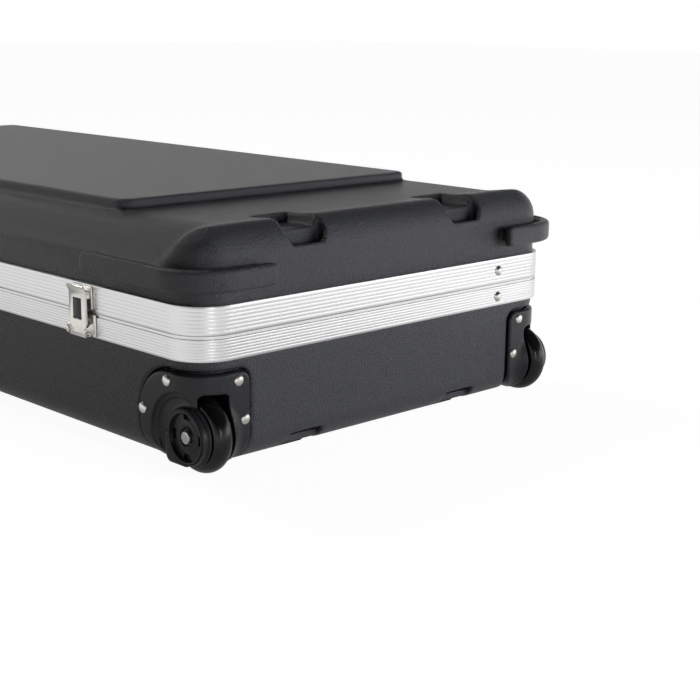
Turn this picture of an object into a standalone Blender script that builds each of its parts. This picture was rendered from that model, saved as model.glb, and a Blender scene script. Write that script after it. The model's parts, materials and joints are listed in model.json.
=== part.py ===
"""Wheeled hard case for a 61-key keyboard, closed and lying flat.

Lengths are in metres and +Z is up. +X is the wheel end, -Y is the latch side and +Y is the hinge side.
The origin is on the floor, under the middle of the case.
"""
import math

import bmesh
import bpy
from mathutils import Vector

# Driving dimensions of the aluminium band and the two shells
BAND_LENGTH = 1.120
BAND_WIDTH = 0.462
BAND_CORNER = 0.038
BAND_BOTTOM = 0.0995
BAND_TOP = 0.1465
SEAM = 0.1215
GAP = 0.0003
BASE_BOTTOM = 0.004
LID_TOP = 0.210
SHELL_INSET = 0.004
SHELL_THICKNESS = 0.004
ROUNDOVER = 0.027
PANEL_RISE = 0.006
PANEL_HALF_LENGTH = 0.397
PANEL_HALF_WIDTH = 0.185

# Wheels and their housings: distances are inward from the band's outer planes
WHEEL_RADIUS = 0.0339
WHEEL_SETBACK = 0.0221
WHEEL_MIDDLE = 0.0225
TYRE_WIDTH = 0.020
TYRE_SEAT = 0.0213
AXLE_RADIUS = 0.0036
AXLE_HEAD_RADIUS = 0.0053
AXLE_HEAD_DEPTHS = (0.0041, 0.0056)
HOUSING_LENGTH = 0.083
HOUSING_WIDTH = 0.0594
HOUSING_TOP = 0.088
HOUSING_LOW = 0.004
HOUSING_END_RADII = (0.026, 0.010)
HOUSING_SIDE_RADII = (0.038, 0.040)
HOUSING_PROUD = 0.002
HOUSING_PLATE = 0.005
TRENCH_WIDTH = 0.0024
WELL_FRONT = 0.0120
WELL_BACK = 0.0362
WELL_DEPTH = 0.062
WELL_TOP = 0.0703
WELL_WALL = 0.0034
DISH_SETBACK = 0.0295
DISH_HEIGHT = 0.0345
DISH_STEPS = ((0.0365, 0.0052), (0.0322, 0.0076))
ARM_DISCS = ((0.0248, 0.0034), (0.0271, 0.0094))
ARM_RECESS = (0.0206, 0.0059)
ARM_HEEL = ((-0.0269, 0.0040), (-0.0269, -0.0261), (0.0051, -0.0261), (0.0051, 0.0040))
INNER_ARM_RADIUS = 0.0281
RIVET_STRIP_INSET = 0.0116
RIVET_STRIP_THICKNESS = 0.0015
RIVET_RADIUS = 0.005
SHANK_RADIUS = 0.0024

# Bumpers, notches, feet and the slope along the lid's long sides
BUMPER_LOW = 0.159
BUMPER_HIGH = 0.1785
BUMPER_REACH = 0.016
BUMPER_ALONG = 0.150
BUMPER_ACROSS = 0.077
NOTCH_OFFSET = 0.1027
NOTCH_WIDTH = 0.0466
FOOT_SIZE = (0.024, 0.044, 0.0037)
FOOT_X = 0.514
FOOT_NOTCH_HALF = (0.0305, 0.0235)
FOOT_NOTCH_HEIGHTS = (0.006, 0.0225)
FOOT_NOTCH_DEPTH = 0.020
NOTCH_STEPS = ((0.0192, 0.1873), (0.0586, 0.1993))
SLOPE_HALF_LENGTH = 0.514
SLOPE_FACE = ((0.0058, 0.1768), (0.0144, 0.1816), (0.0264, 0.1950), (0.0384, 0.2056))
SLOPE_TOP_DEPTH = 0.0470

# Hinge, stays, latches and handles
HINGE_REACH = 0.0045
HINGE_HALF_LENGTH = 0.450
KNUCKLES = 9
STAY_Y = 0.148
STAY_RISE = 0.013
STAY_HALF_WIDTH = 0.0055
LATCH_X = (-0.400, -0.190, 0.190, 0.400)
LEVER_PIN = (0.0063, 0.1035)
TRIGGER_PIN = (0.0063, 0.1290)
PIN_RADIUS = 0.0015
TRIGGER_PIN_RADIUS = 0.0006
HANDLE_REACH = 0.008
HANDLE_HEIGHT = 0.084

HALF_X = BAND_LENGTH / 2
HALF_Y = BAND_WIDTH / 2
WALL_X = HALF_X - SHELL_INSET
WALL_Y = HALF_Y - SHELL_INSET
SEAM_MIDDLE = SEAM + GAP / 2
AXLE_X = HALF_X - WHEEL_SETBACK
HINGE_AXIS = Vector((0, HALF_Y + HINGE_REACH, SEAM_MIDDLE))
CORNER_STEPS = 5
ROUND_STEPS = 4
BEYOND = 0.05

PLASTICS = {
    "shell": ("3A3B40", 0.62, 0.0),
    "housing": ("1F2024", 0.38, 0.0),
    "tyre": ("0E0F11", 0.12, 0.0),
    "hub": ("18191C", 0.35, 0.0),
    "foam": ("2A2B2E", 0.95, 0.0),
    "rubber": ("131315", 0.8, 0.0),
    "grip": ("1A1A1D", 0.55, 0.0),
}
METALS = {
    "aluminium": ("D9DADC", 0.3, 1.0),
    "nickel": ("E4DFD6", 0.18, 1.0),
    "steel": ("B9BABD", 0.3, 1.0),
}


def remove_everything():
    for obj in list(bpy.data.objects):
        bpy.data.objects.remove(obj, do_unlink=True)


def linear(channel):
    return channel / 12.92 if channel <= 0.04045 else ((channel + 0.055) / 1.055) ** 2.4


def make_materials():
    made = {}
    for name, (colour, roughness, metallic) in {**PLASTICS, **METALS}.items():
        material = bpy.data.materials.new(name)
        material.use_nodes = True
        shader = material.node_tree.nodes["Principled BSDF"]
        channels = [int(colour[i : i + 2], 16) / 255 for i in (0, 2, 4)]
        shader.inputs["Base Color"].default_value = [linear(c) for c in channels] + [1]
        shader.inputs["Roughness"].default_value = roughness
        shader.inputs["Metallic"].default_value = metallic
        made[name] = material
    return made


def finish_mesh(name, bm, material=None, pivot=(0, 0, 0), smooth=False):
    """One object from a bmesh in world coordinates, with its origin moved to the pivot."""
    bmesh.ops.recalc_face_normals(bm, faces=bm.faces)
    bmesh.ops.translate(bm, verts=bm.verts, vec=-Vector(pivot))
    mesh = bpy.data.meshes.new(name)
    bm.to_mesh(mesh)
    bm.free()
    obj = bpy.data.objects.new(name, mesh)
    obj.location = pivot
    bpy.context.scene.collection.objects.link(obj)
    if material:
        mesh.materials.append(MATERIALS[material])
    else:
        obj.hide_render = True
        obj.display_type = "WIRE"
    if smooth:
        mesh.shade_smooth()
        mesh.set_sharp_from_angle(angle=math.radians(35))
    return obj


def combine(obj, tool, operation="DIFFERENCE"):
    """A Boolean that cuts with, joins or keeps a helper object."""
    modifier = obj.modifiers.new(f"{operation} {tool.name}", "BOOLEAN")
    modifier.operation = operation
    modifier.object = tool
    modifier.solver = "EXACT"


def bevel(obj, width, segments=1):
    modifier = obj.modifiers.new("Bevel", "BEVEL")
    modifier.width = width
    modifier.segments = segments
    modifier.limit_method = "ANGLE"


def loft(name, rings, material=None, closed=False, **more):
    """Faces between rings of equal length, capped at both ends or joined round into a loop."""
    bm = bmesh.new()
    rows = [[bm.verts.new(point) for point in ring] for ring in rings]
    pairs = list(zip(rows, rows[1:] + rows[:1])) if closed else list(zip(rows, rows[1:]))
    for low, high in pairs:
        for i in range(len(low)):
            j = (i + 1) % len(low)
            bm.faces.new((low[i], low[j], high[j], high[i]))
    if not closed:
        bm.faces.new(rows[0])
        bm.faces.new(rows[-1])
    return finish_mesh(name, bm, material, **more)


def plan_ring(inset, z):
    """The case's outline in plan, this far inside the band's outer face."""
    radius = max(BAND_CORNER - inset, 0.004)
    half_x = HALF_X - inset - radius
    half_y = HALF_Y - inset - radius
    points = []
    for quarter, (sx, sy) in enumerate(((1, 1), (-1, 1), (-1, -1), (1, -1))):
        for step in range(CORNER_STEPS + 1):
            angle = math.pi / 2 * (quarter + step / CORNER_STEPS)
            x = sx * half_x + radius * math.cos(angle)
            y = sy * half_y + radius * math.sin(angle)
            points.append((x, y, z))
    return points


def cup_rings(inset, flat, rim):
    """Rings of a tray whose flat side is rounded over into its walls, upright or upside down."""
    up = 1 if rim > flat else -1
    radius = ROUNDOVER + SHELL_INSET - inset
    rings = []
    for step in range(ROUND_STEPS + 1):
        angle = math.pi / 2 * step / ROUND_STEPS
        along = inset + radius * (1 - math.sin(angle))
        rings.append(plan_ring(along, flat + up * radius * (1 - math.cos(angle))))
    rings.append(plan_ring(inset, rim))
    return rings


def base_cup(name, inset, rim=SEAM, material=None):
    """A solid this far inside the band, with its bottom offset from the base's by the same amount."""
    return loft(name, cup_rings(inset, BASE_BOTTOM + inset - SHELL_INSET, rim), material)


def lid_cup(name, inset, rim=SEAM, material=None):
    return loft(name, cup_rings(inset, LID_TOP - inset + SHELL_INSET, rim), material)


def rounded(corners, radii, steps=4):
    """A polygon with each corner turned into an arc."""
    outline = []
    for i, (corner, radius) in enumerate(zip(corners, radii)):
        point = Vector(corner)
        if not radius:
            outline.append(point)
            continue
        before = (Vector(corners[i - 1]) - point).normalized()
        after = (Vector(corners[(i + 1) % len(corners)]) - point).normalized()
        half = before.angle(after) / 2
        centre = point + (before + after).normalized() * radius / math.sin(half)
        start = point + before * radius / math.tan(half) - centre
        end = point + after * radius / math.tan(half) - centre
        for step in range(steps + 1):
            outline.append(centre + start.slerp(end, step / steps).normalized() * radius)
    return outline


def prism(name, outline, axis, low, high, material=None, **more):
    """An outline in the plane across one axis, extruded along it. Axis y takes (x, z) points."""
    place = {
        "x": lambda p, depth: (depth, p[0], p[1]),
        "y": lambda p, depth: (p[0], depth, p[1]),
        "z": lambda p, depth: (p[0], p[1], depth),
    }[axis]
    rings = [[place(point, depth) for point in outline] for depth in (low, high)]
    return loft(name, rings, material, **more)


def box(name, low, high, material=None, **more):
    outline = [(low[0], low[1]), (high[0], low[1]), (high[0], high[1]), (low[0], high[1])]
    return prism(name, outline, "z", low[2], high[2], material, **more)


def turned(name, axis, centre, profile, material=None, steps=16, **more):
    """A closed (radius, distance along) profile turned about an axis through the centre.

    A profile that starts and ends at radius 0 is a solid of revolution, and any other is a ring.
    """
    along = Vector({"x": (1, 0, 0), "y": (0, 1, 0), "z": (0, 0, 1)}[axis])
    across = Vector((0, 0, 1)) if axis != "z" else Vector((1, 0, 0))
    other = along.cross(across)
    solid = profile[0][0] == 0
    rings = []
    for radius, distance in profile[1:-1] if solid else profile:
        ring = []
        for step in range(steps):
            angle = 2 * math.pi * step / steps
            spoke = across * math.cos(angle) + other * math.sin(angle)
            ring.append(Vector(centre) + along * distance + spoke * radius)
        rings.append(ring)
    return loft(name, rings, material, closed=not solid, **more)


def rod(name, axis, centre, radius, low, high, material=None, steps=12, **more):
    profile = [(0, low), (radius, low), (radius, high), (0, high)]
    return turned(name, axis, centre, profile, material, steps, **more)


def rivet_head(out):
    """The profile of a domed head that stands out along its axis."""
    return [(0, 0), (RIVET_RADIUS, 0), (0.0042, out * 0.0012), (0.002, out * 0.002), (0, out * 0.002)]


def rivet(name, axis, centre, out, length):
    """A domed rivet: its head stands out along the axis and its shank runs the other way."""
    head_tool = turned(f"{name}_head", axis, centre, rivet_head(out), steps=12)
    shank = rod(f"{name}_shank", axis, centre, SHANK_RADIUS, *sorted((out * 0.0005, -out * length)))
    return head_tool, shank


def pivot(name, location, parent=None):
    empty = bpy.data.objects.new(name, None)
    empty.empty_display_size = 0.02
    bpy.context.scene.collection.objects.link(empty)
    empty.location = location
    attach(empty, parent)
    return empty


def world_place(obj):
    place = Vector(obj.location)
    return place + world_place(obj.parent) if obj.parent else place


def attach(obj, parent):
    """Parents an object without moving it. Nothing here is turned, so places simply subtract."""
    if parent:
        obj.location = Vector(obj.location) - world_place(parent)
        obj.parent = parent


def stepped_notches(grow=0):
    """Two-step notches across the lid's end edges: cutters, larger by grow for the inner surface."""
    cutters = []
    half = NOTCH_WIDTH / 2 + grow
    for end in (-1, 1):
        for side in (-1, 1):
            middle = side * NOTCH_OFFSET
            for back, floor in NOTCH_STEPS:
                edges = sorted((end * (HALF_X - back - grow), end * (HALF_X + BEYOND)))
                low = (edges[0], middle - half, floor - grow)
                high = (edges[1], middle + half, LID_TOP + BEYOND)
                cutters.append(box("notch_cutter", low, high))
    return cutters


def lid_slopes(grow=0):
    """The long slope that drops from the lid's top to its side wall, on both long sides."""
    depths = ((-BEYOND, SLOPE_FACE[0][1]), *SLOPE_FACE, (SLOPE_TOP_DEPTH, LID_TOP))
    cutters = []
    for side in (-1, 1):
        profile = [(side * (HALF_Y - depth - grow), height - grow) for depth, height in depths]
        top = LID_TOP + PANEL_RISE + BEYOND
        profile += [(profile[-1][0], top), (side * (HALF_Y + BEYOND), top)]
        reach = SLOPE_HALF_LENGTH + grow
        cutters.append(prism("slope_cutter", profile, "x", -reach, reach))
    return cutters


def bumper(name, end, side):
    """A solid rib round one corner of the lid, with ramped ends."""
    centre = (HALF_X - BAND_CORNER, HALF_Y - BAND_CORNER)
    inner = BAND_CORNER - SHELL_INSET - 0.002
    start = HALF_X - BUMPER_ALONG
    stop = HALF_Y - BUMPER_ACROSS
    ramp = 0.007
    arc = [math.pi / 2 * (1 - step / CORNER_STEPS) for step in range(CORNER_STEPS + 1)]
    rings = []
    for height, reach in (
        (BUMPER_LOW, BUMPER_REACH - 0.005),
        (BUMPER_LOW + 0.0045, BUMPER_REACH),
        (BUMPER_HIGH - 0.0045, BUMPER_REACH),
        (BUMPER_HIGH, BUMPER_REACH - 0.005),
    ):
        outer = BAND_CORNER - SHELL_INSET + reach
        ring = [(start, WALL_Y - 0.002), (start + ramp, WALL_Y + reach)]
        ring += [(centre[0] + outer * math.cos(a), centre[1] + outer * math.sin(a)) for a in arc]
        ring += [(WALL_X + reach, stop + ramp), (WALL_X - 0.002, stop)]
        ring += [(centre[0] + inner * math.cos(a), centre[1] + inner * math.sin(a)) for a in reversed(arc)]
        rings.append([(end * x, side * y, height) for x, y in ring])
    return loft(name, rings)


def raised_panel(grow=0):
    half_x = PANEL_HALF_LENGTH - grow
    half_y = PANEL_HALF_WIDTH - grow
    corners = [(-half_x, -half_y), (half_x, -half_y), (half_x, half_y), (-half_x, half_y)]
    outline = rounded(corners, [0.012] * 4)
    return prism("panel", outline, "z", LID_TOP - 0.002 - grow, LID_TOP + PANEL_RISE - grow)


def build_lid_shell():
    shell = lid_cup("lid_shell", SHELL_INSET, SEAM + 0.0081, "shell")
    cavity = lid_cup("lid_cavity", SHELL_INSET + SHELL_THICKNESS, SEAM)
    combine(cavity, raised_panel(SHELL_THICKNESS), "UNION")
    for cutter in lid_slopes(SHELL_THICKNESS) + stepped_notches(SHELL_THICKNESS):
        combine(cavity, cutter)
    combine(shell, raised_panel(), "UNION")
    for cutter in lid_slopes() + stepped_notches():
        combine(shell, cutter)
    for end in (-1, 1):
        for side in (-1, 1):
            combine(shell, bumper("bumper", end, side), "UNION")
    combine(shell, cavity)
    return shell


def housing_outlines(side, grow):
    """The two elevations of a wheel housing's outline: seen from the end, and from the side."""
    top = HOUSING_TOP + grow
    bottom = HOUSING_LOW - grow
    inner = side * (HALF_Y - HOUSING_WIDTH - grow)
    outer = side * (HALF_Y + BEYOND)
    low_radius, high_radius = (radius + grow for radius in HOUSING_END_RADII)
    corners = [(outer, bottom), (inner, bottom), (inner, top), (outer, top)]
    from_end = rounded(corners, [0, low_radius, high_radius, 0])
    back = HALF_X - HOUSING_LENGTH - grow
    front = HALF_X + BEYOND
    low_radius, high_radius = (radius + grow for radius in HOUSING_SIDE_RADII)
    corners = [(back, bottom), (front, bottom), (front, top), (back, top)]
    from_side = rounded(corners, [low_radius, 0, 0, high_radius])
    return from_end, from_side


def housing_region(side, grow):
    """Helper solids that together keep the corner of the base that a wheel housing fills."""
    from_end, from_side = housing_outlines(side, grow)
    end_tool = prism("housing_end_region", from_end, "x", HALF_X - 0.15, HALF_X + BEYOND)
    ends = sorted((side * (HALF_Y - 0.12), side * (HALF_Y + BEYOND)))
    side_tool = prism("housing_side_region", from_side, "y", *ends)
    return end_tool, side_tool


def keep_region(obj, side, grow):
    for tool in housing_region(side, grow):
        combine(obj, tool, "INTERSECT")


def side_box(name, side, x_range, depth_range, z_range, material=None):
    """A box placed by its distance in from the band's front or rear plane."""
    ys = sorted(side * (HALF_Y - depth) for depth in depth_range)
    return box(name, (x_range[0], ys[0], z_range[0]), (x_range[1], ys[1], z_range[1]), material)


def side_rod(name, side, x, z, radius, depth_range, material=None, steps=12, **more):
    ys = sorted(side * (HALF_Y - depth) for depth in depth_range)
    return rod(name, "y", (x, 0, z), radius, ys[0], ys[1], material, steps, **more)


def housing_rivet_places(side):
    """Axis, centre and outward sign of the four rivets, two on the end and two on the side."""
    end_x = HALF_X - SHELL_INSET + HOUSING_PROUD + GAP
    side_y = side * (HALF_Y - SHELL_INSET + HOUSING_PROUD + GAP)
    return (
        ("x", (end_x, side * (HALF_Y - 0.0463), 0.0804), 1),
        ("x", (end_x, side * (HALF_Y - 0.0530), 0.0455), 1),
        ("y", (HALF_X - 0.0438, side_y, 0.0799), side),
        ("y", (HALF_X - 0.0780, side_y, 0.0492), side),
    )


def rivet_holes(places, length):
    holes = []
    for axis, centre, out in places:
        reach = sorted((out * 0.005, -out * length))
        holes.append(rod("rivet_hole", axis, centre, SHANK_RADIUS + GAP, *reach))
    return holes


def wheel_disc(side, radius, depth_range, steps=28):
    return side_rod("wheel_disc", side, AXLE_X, WHEEL_RADIUS, radius, depth_range, steps=steps)


def build_outer_arm(housing, side):
    """The dish in the long side, and the round arm that stands in it with the axle's outer end."""
    for radius, depth in DISH_STEPS:
        dish = side_rod("dish", side, HALF_X - DISH_SETBACK, DISH_HEIGHT, radius, (-BEYOND, depth), steps=32)
        combine(housing, dish)
    for radius, depth in ARM_DISCS:
        combine(housing, wheel_disc(side, radius, (depth, WELL_FRONT)), "UNION")
    heel = [(AXLE_X + x, WHEEL_RADIUS + z) for x, z in rounded(ARM_HEEL, [0.004, 0.007, 0.004, 0])]
    ys = sorted(side * (HALF_Y - depth) for depth in (ARM_DISCS[0][1] + GAP, WELL_FRONT))
    combine(housing, prism("arm_heel", heel, "y", *ys), "UNION")
    radius, depth = ARM_RECESS
    combine(housing, wheel_disc(side, radius, (-BEYOND, depth)))


def build_wheel_housing(name, side):
    outer_inset = SHELL_INSET - HOUSING_PROUD
    housing = base_cup(name, outer_inset, BAND_BOTTOM, "housing")
    keep_region(housing, side, 0)
    hollow = base_cup(f"{name}_hollow", outer_inset + HOUSING_PLATE, SEAM)
    block_x = (HALF_X - WELL_DEPTH, HALF_X + BEYOND)
    block_depth = (-BEYOND, WELL_BACK + WELL_WALL)
    combine(hollow, side_box("well_block", side, block_x, block_depth, (-BEYOND, WELL_TOP + WELL_WALL)))
    combine(housing, hollow)
    well_x = (HALF_X - WELL_DEPTH + WELL_WALL, HALF_X + BEYOND)
    combine(housing, side_box("well", side, well_x, (WELL_FRONT, WELL_BACK), (-BEYOND, WELL_TOP)))
    build_outer_arm(housing, side)
    combine(housing, wheel_disc(side, INNER_ARM_RADIUS, (WELL_BACK, WELL_BACK + 0.003)), "UNION")
    combine(housing, wheel_disc(side, AXLE_RADIUS + GAP, (-0.01, 0.06), 12))
    for hole in rivet_holes(housing_rivet_places(side), 0.02):
        combine(housing, hole)
    return housing


def build_housing_rivets(name, side):
    """Four rivets and the bent strip that they are clenched on, inside the shell."""
    inner = RIVET_STRIP_INSET + RIVET_STRIP_THICKNESS
    strip = loft(name, [plan_ring(RIVET_STRIP_INSET, 0.040), plan_ring(RIVET_STRIP_INSET, 0.084)], "nickel")
    combine(strip, loft("strip_hollow", [plan_ring(inner, 0.03), plan_ring(inner, 0.09)]))
    keep_region(strip, side, -0.0014)
    clear_x = (HALF_X - WELL_DEPTH - 0.0015, HALF_X + BEYOND)
    clear_depth = (-BEYOND, WELL_BACK + WELL_WALL + 0.0015)
    clear_z = (0, WELL_TOP + WELL_WALL + 0.0015)
    combine(strip, side_box("strip_clearance", side, clear_x, clear_depth, clear_z))
    for axis, centre, out in housing_rivet_places(side):
        for tool in rivet("housing_rivet", axis, centre, out, 0.0108):
            combine(strip, tool, "UNION")
    return strip


def bottom_notches(grow=0):
    """Tapered notches in the bottom edge of each end, over the feet."""
    cutters = []
    for end in (-1, 1):
        for side in (-1, 1):
            middle = side * NOTCH_OFFSET
            half_low, half_high = (half + grow for half in FOOT_NOTCH_HALF)
            low = FOOT_NOTCH_HEIGHTS[0]
            top = FOOT_NOTCH_HEIGHTS[1] + grow
            outline = [(middle - half_low, -BEYOND), (middle - half_low, low), (middle - half_high, top)]
            outline += [(middle + half_high, top), (middle + half_low, low), (middle + half_low, -BEYOND)]
            edges = sorted((end * (HALF_X - FOOT_NOTCH_DEPTH - grow), end * (HALF_X + BEYOND)))
            cutters.append(prism("bottom_notch", outline, "x", *edges))
    return cutters


def build_base_shell():
    shell = base_cup("base_shell", SHELL_INSET, SEAM - 0.0036, "shell")
    cavity = base_cup("base_cavity", SHELL_INSET + SHELL_THICKNESS, SEAM + 0.01)
    recess_inset = SHELL_INSET - HOUSING_PROUD + HOUSING_PLATE + GAP
    for cutter in bottom_notches(SHELL_THICKNESS):
        combine(cavity, cutter)
    for side in (-1, 1):
        patch = loft("patch", [plan_ring(0, -0.02), plan_ring(0, HOUSING_TOP + 0.006)])
        keep_region(patch, side, 0.005)
        combine(patch, base_cup("patch_hollow", recess_inset + SHELL_THICKNESS, SEAM + 0.02))
        combine(cavity, patch)
        recess = loft("recess", [plan_ring(-0.01, -0.02), plan_ring(-0.01, HOUSING_TOP + 0.006)])
        keep_region(recess, side, TRENCH_WIDTH)
        combine(recess, base_cup("recess_hollow", recess_inset, SEAM + 0.02))
        combine(shell, recess)
    for cutter in bottom_notches():
        combine(shell, cutter)
    combine(shell, cavity)
    for side in (-1, 1):
        hole_x = (HALF_X - WELL_DEPTH - GAP, HALF_X + BEYOND)
        depth = (-BEYOND, WELL_BACK + WELL_WALL + GAP)
        combine(shell, side_box("well_hole", side, hole_x, depth, (-BEYOND, WELL_TOP + WELL_WALL + GAP)))
        for hole in rivet_holes(housing_rivet_places(side), 0.02):
            combine(shell, hole)
    return shell


def build_band(name, stations, material="aluminium"):
    return loft(name, [plan_ring(inset, z) for inset, z in stations], material, closed=True)


def build_base_valance():
    """Lower half of the band: a channel that holds the base's rim, with a tongue on top."""
    top = SEAM
    outer_leg = [(0.0037, top - 0.0033), (0.0037, BAND_BOTTOM), (0, BAND_BOTTOM), (0, top)]
    tongue = [(0.0048, top), (0.0050, top + 0.0025), (0.0064, top + 0.0025), (0.0066, top)]
    inner_leg = [(0.0103, top), (0.0103, 0.105), (0.0083, 0.105), (0.0083, top - 0.0033)]
    return build_band("base_valance", outer_leg + tongue + inner_leg)


def build_lid_valance():
    """Upper half of the band: a channel that holds the lid's rim, with a groove underneath."""
    low = SEAM + GAP
    outer_leg = [(0.0037, low + 0.0075), (0.0037, BAND_TOP), (0, BAND_TOP), (0, low)]
    groove = [(0.0043, low), (0.0043, low + 0.0042), (0.0079, low + 0.0042), (0.0079, low)]
    inner_leg = [(0.0103, low), (0.0103, 0.142), (0.0083, 0.142), (0.0083, low + 0.0075)]
    return build_band("lid_valance", outer_leg + groove + inner_leg)


def build_gasket():
    low = SEAM + 0.0029
    high = low + 0.0013
    return build_band("lid_gasket", ((0.0046, low), (0.0046, high), (0.0076, high), (0.0076, low)), "rubber")


def build_base_foam():
    """The foam tray that the keyboard lies in, cut back round the wheel wells."""
    rings = cup_rings(0.0085, BASE_BOTTOM + 0.0045, 0.100)
    rings += [plan_ring(0.018, 0.100), plan_ring(0.018, 0.1195)]
    tray = loft("base_foam_tray", rings, "foam")
    long, wide = 0.522, 0.198
    wheel_x, wheel_y = 0.458, 0.150
    corners = [(-long, -wide), (wheel_x, -wide), (wheel_x, -wheel_y), (long, -wheel_y)]
    corners += [(long, wheel_y), (wheel_x, wheel_y), (wheel_x, wide), (-long, wide)]
    radii = [0.02, 0.012, 0.012, 0.02, 0.02, 0.012, 0.012, 0.02]
    combine(tray, prism("tray_cavity", rounded(corners, radii, 3), "z", 0.025, SEAM + 0.02))
    for side in (-1, 1):
        combine(tray, side_box("tray_wheel", side, (0.466, HALF_X), (-0.01, 0.073), (-0.01, 0.096)))
    for cutter in bottom_notches(SHELL_THICKNESS + 0.0008):
        combine(tray, cutter)
    return tray


def build_foam_blocks():
    """Loose foam blocks that take up the space at each end of a shorter keyboard."""
    for name, low, high in (("foam_block_left", -0.521, -0.476), ("foam_block_right", 0.476, 0.521)):
        block = box(name, (low, -0.120, 0.0253), (high, 0.120, 0.085), "foam")
        bevel(block, 0.006)


def build_lid_foam():
    inset = 0.066
    long, wide = HALF_X - inset, HALF_Y - inset
    corners = [(-long, -wide), (long, -wide), (long, wide), (-long, wide)]
    return prism("lid_foam_pad", rounded(corners, [0.02] * 4), "z", 0.186, 0.2057, "foam")


def build_feet():
    long, wide, tall = FOOT_SIZE
    for end, end_name in ((-1, "left"), (1, "wheel_end")):
        for side, side_name in ((-1, "front"), (1, "rear")):
            west, east = end * FOOT_X - long / 2, end * FOOT_X + long / 2
            south, north = side * NOTCH_OFFSET - wide / 2, side * NOTCH_OFFSET + wide / 2
            corners = [(west, south), (east, south), (east, north), (west, north)]
            prism(f"foot_{end_name}_{side_name}", rounded(corners, [0.005] * 4, 3), "z", 0, tall, "rubber")


def tyre_profile():
    """The tyre's section: a flat seat on the hub and a round tread."""
    half = TYRE_WIDTH / 2
    tread = [(0.0265, half), (0.0305, 0.0086), (0.0329, 0.0054), (WHEEL_RADIUS, 0.0018)]
    profile = [(TYRE_SEAT, -half + 0.002)] + [(r, -w) for r, w in tread]
    return profile + [(r, w) for r, w in reversed(tread)] + [(TYRE_SEAT, half - 0.002)]


def hub_profile():
    """The hub's section: a boss on the axle, a thin web and a rim under the tyre."""
    bore = AXLE_RADIUS + GAP
    boss, boss_half = 0.0085, TYRE_WIDTH / 2 - 0.0009
    web_half = 0.004
    rim, rim_half = TYRE_SEAT - GAP, boss_half - 0.001
    inside = rim - 0.003
    near = [(bore, -boss_half), (boss, -boss_half), (boss, -web_half), (inside, -web_half)]
    near += [(inside, -rim_half), (rim, -rim_half)]
    return near + [(radius, -distance) for radius, distance in reversed(near)]


def build_axle(name, side):
    """A pin with a domed end in the outer arm and a riveted one behind the inner arm."""
    far = WELL_BACK + WELL_WALL + GAP
    near = AXLE_HEAD_DEPTHS[1] - 0.0005
    axle = side_rod(name, side, AXLE_X, WHEEL_RADIUS, AXLE_RADIUS, (near, far + 0.001), "steel", 16)
    combine(axle, wheel_disc(side, AXLE_HEAD_RADIUS, AXLE_HEAD_DEPTHS, 16), "UNION")
    combine(axle, wheel_disc(side, 0.0060, (far, far + 0.002), 12), "UNION")


def build_wheel(name, side):
    """Tyre, hub and axle. The tyre and the hub turn on the axle, which is riveted into the housing."""
    place = Vector((AXLE_X, side * (HALF_Y - WHEEL_MIDDLE), WHEEL_RADIUS))
    same = {"pivot": place, "smooth": True}
    tyre = turned(f"wheel_tyre_{name}", "y", place, tyre_profile(), "tyre", steps=28, **same)
    hub = turned(f"wheel_hub_{name}", "y", place, hub_profile(), "hub", steps=20, **same)
    build_axle(f"wheel_axle_{name}", side)
    spin = pivot(f"wheel_spin_{name}", place)
    attach(tyre, spin)
    attach(hub, spin)


def leaf_half(name, z_plate, z_web, first, material, parent=None):
    """One leaf of the long hinge: a plate on the band and every other knuckle."""
    outer = HALF_Y + GAP
    low = (-HINGE_HALF_LENGTH, outer, z_plate[0])
    high = (HINGE_HALF_LENGTH, outer + 0.0015, z_plate[1])
    leaf = box(name, low, high, material, pivot=HINGE_AXIS)
    pitch = 2 * HINGE_HALF_LENGTH / KNUCKLES
    for index in range(first, KNUCKLES, 2):
        start = -HINGE_HALF_LENGTH + index * pitch + GAP
        stop = start + pitch - 2 * GAP
        combine(leaf, box("web", (start, outer, z_web[0]), (stop, outer + 0.0030, z_web[1])), "UNION")
        combine(leaf, rod("knuckle", "x", HINGE_AXIS, 0.0034, start, stop, steps=10), "UNION")
    beyond = HINGE_HALF_LENGTH + 0.01
    combine(leaf, rod("pin_hole", "x", HINGE_AXIS, 0.0019, -beyond, beyond, steps=10))
    attach(leaf, parent)
    return leaf


def build_hinge(lid):
    leaf_half("hinge_leaf_base", (0.101, 0.1175), (0.116, SEAM - GAP), 0, "nickel")
    leaf_half("hinge_leaf_lid", (0.1258, 0.1425), (SEAM + 2 * GAP, 0.127), 1, "nickel", lid)
    ends = (-HINGE_HALF_LENGTH, HINGE_HALF_LENGTH)
    rod("hinge_pin", "x", HINGE_AXIS, 0.0015, *ends, "steel", 10, pivot=HINGE_AXIS)


def stay_link(name, end, start, stop, depths, holes, pin=None):
    """A flat link with round ends between two points of the Y-Z plane, just inside the end wall."""
    across = (stop - start).normalized()
    half = STAY_HALF_WIDTH
    outline = []
    for centre, turn in ((start, math.pi / 2), (stop, -math.pi / 2)):
        for step in range(7):
            angle = turn + math.pi * step / 6
            outline.append((
                centre.y + half * (across.y * math.cos(angle) - across.z * math.sin(angle)),
                centre.z + half * (across.y * math.sin(angle) + across.z * math.cos(angle)),
            ))
    xs = sorted(end * (HALF_X - depth) for depth in depths)
    link = prism(name, outline, "x", *xs, "nickel", pivot=(xs[0], start.y, start.z))
    if pin:
        pin_xs = sorted(end * (HALF_X - depth) for depth in pin)
        combine(link, rod("elbow_pin", "x", (0, stop.y, stop.z), 0.0028, *pin_xs), "UNION")
    for centre, radius in holes:
        combine(link, rod("link_hole", "x", (0, centre.y, centre.z), radius, xs[0] - 0.01, xs[1] + 0.01))
    return link


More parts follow.
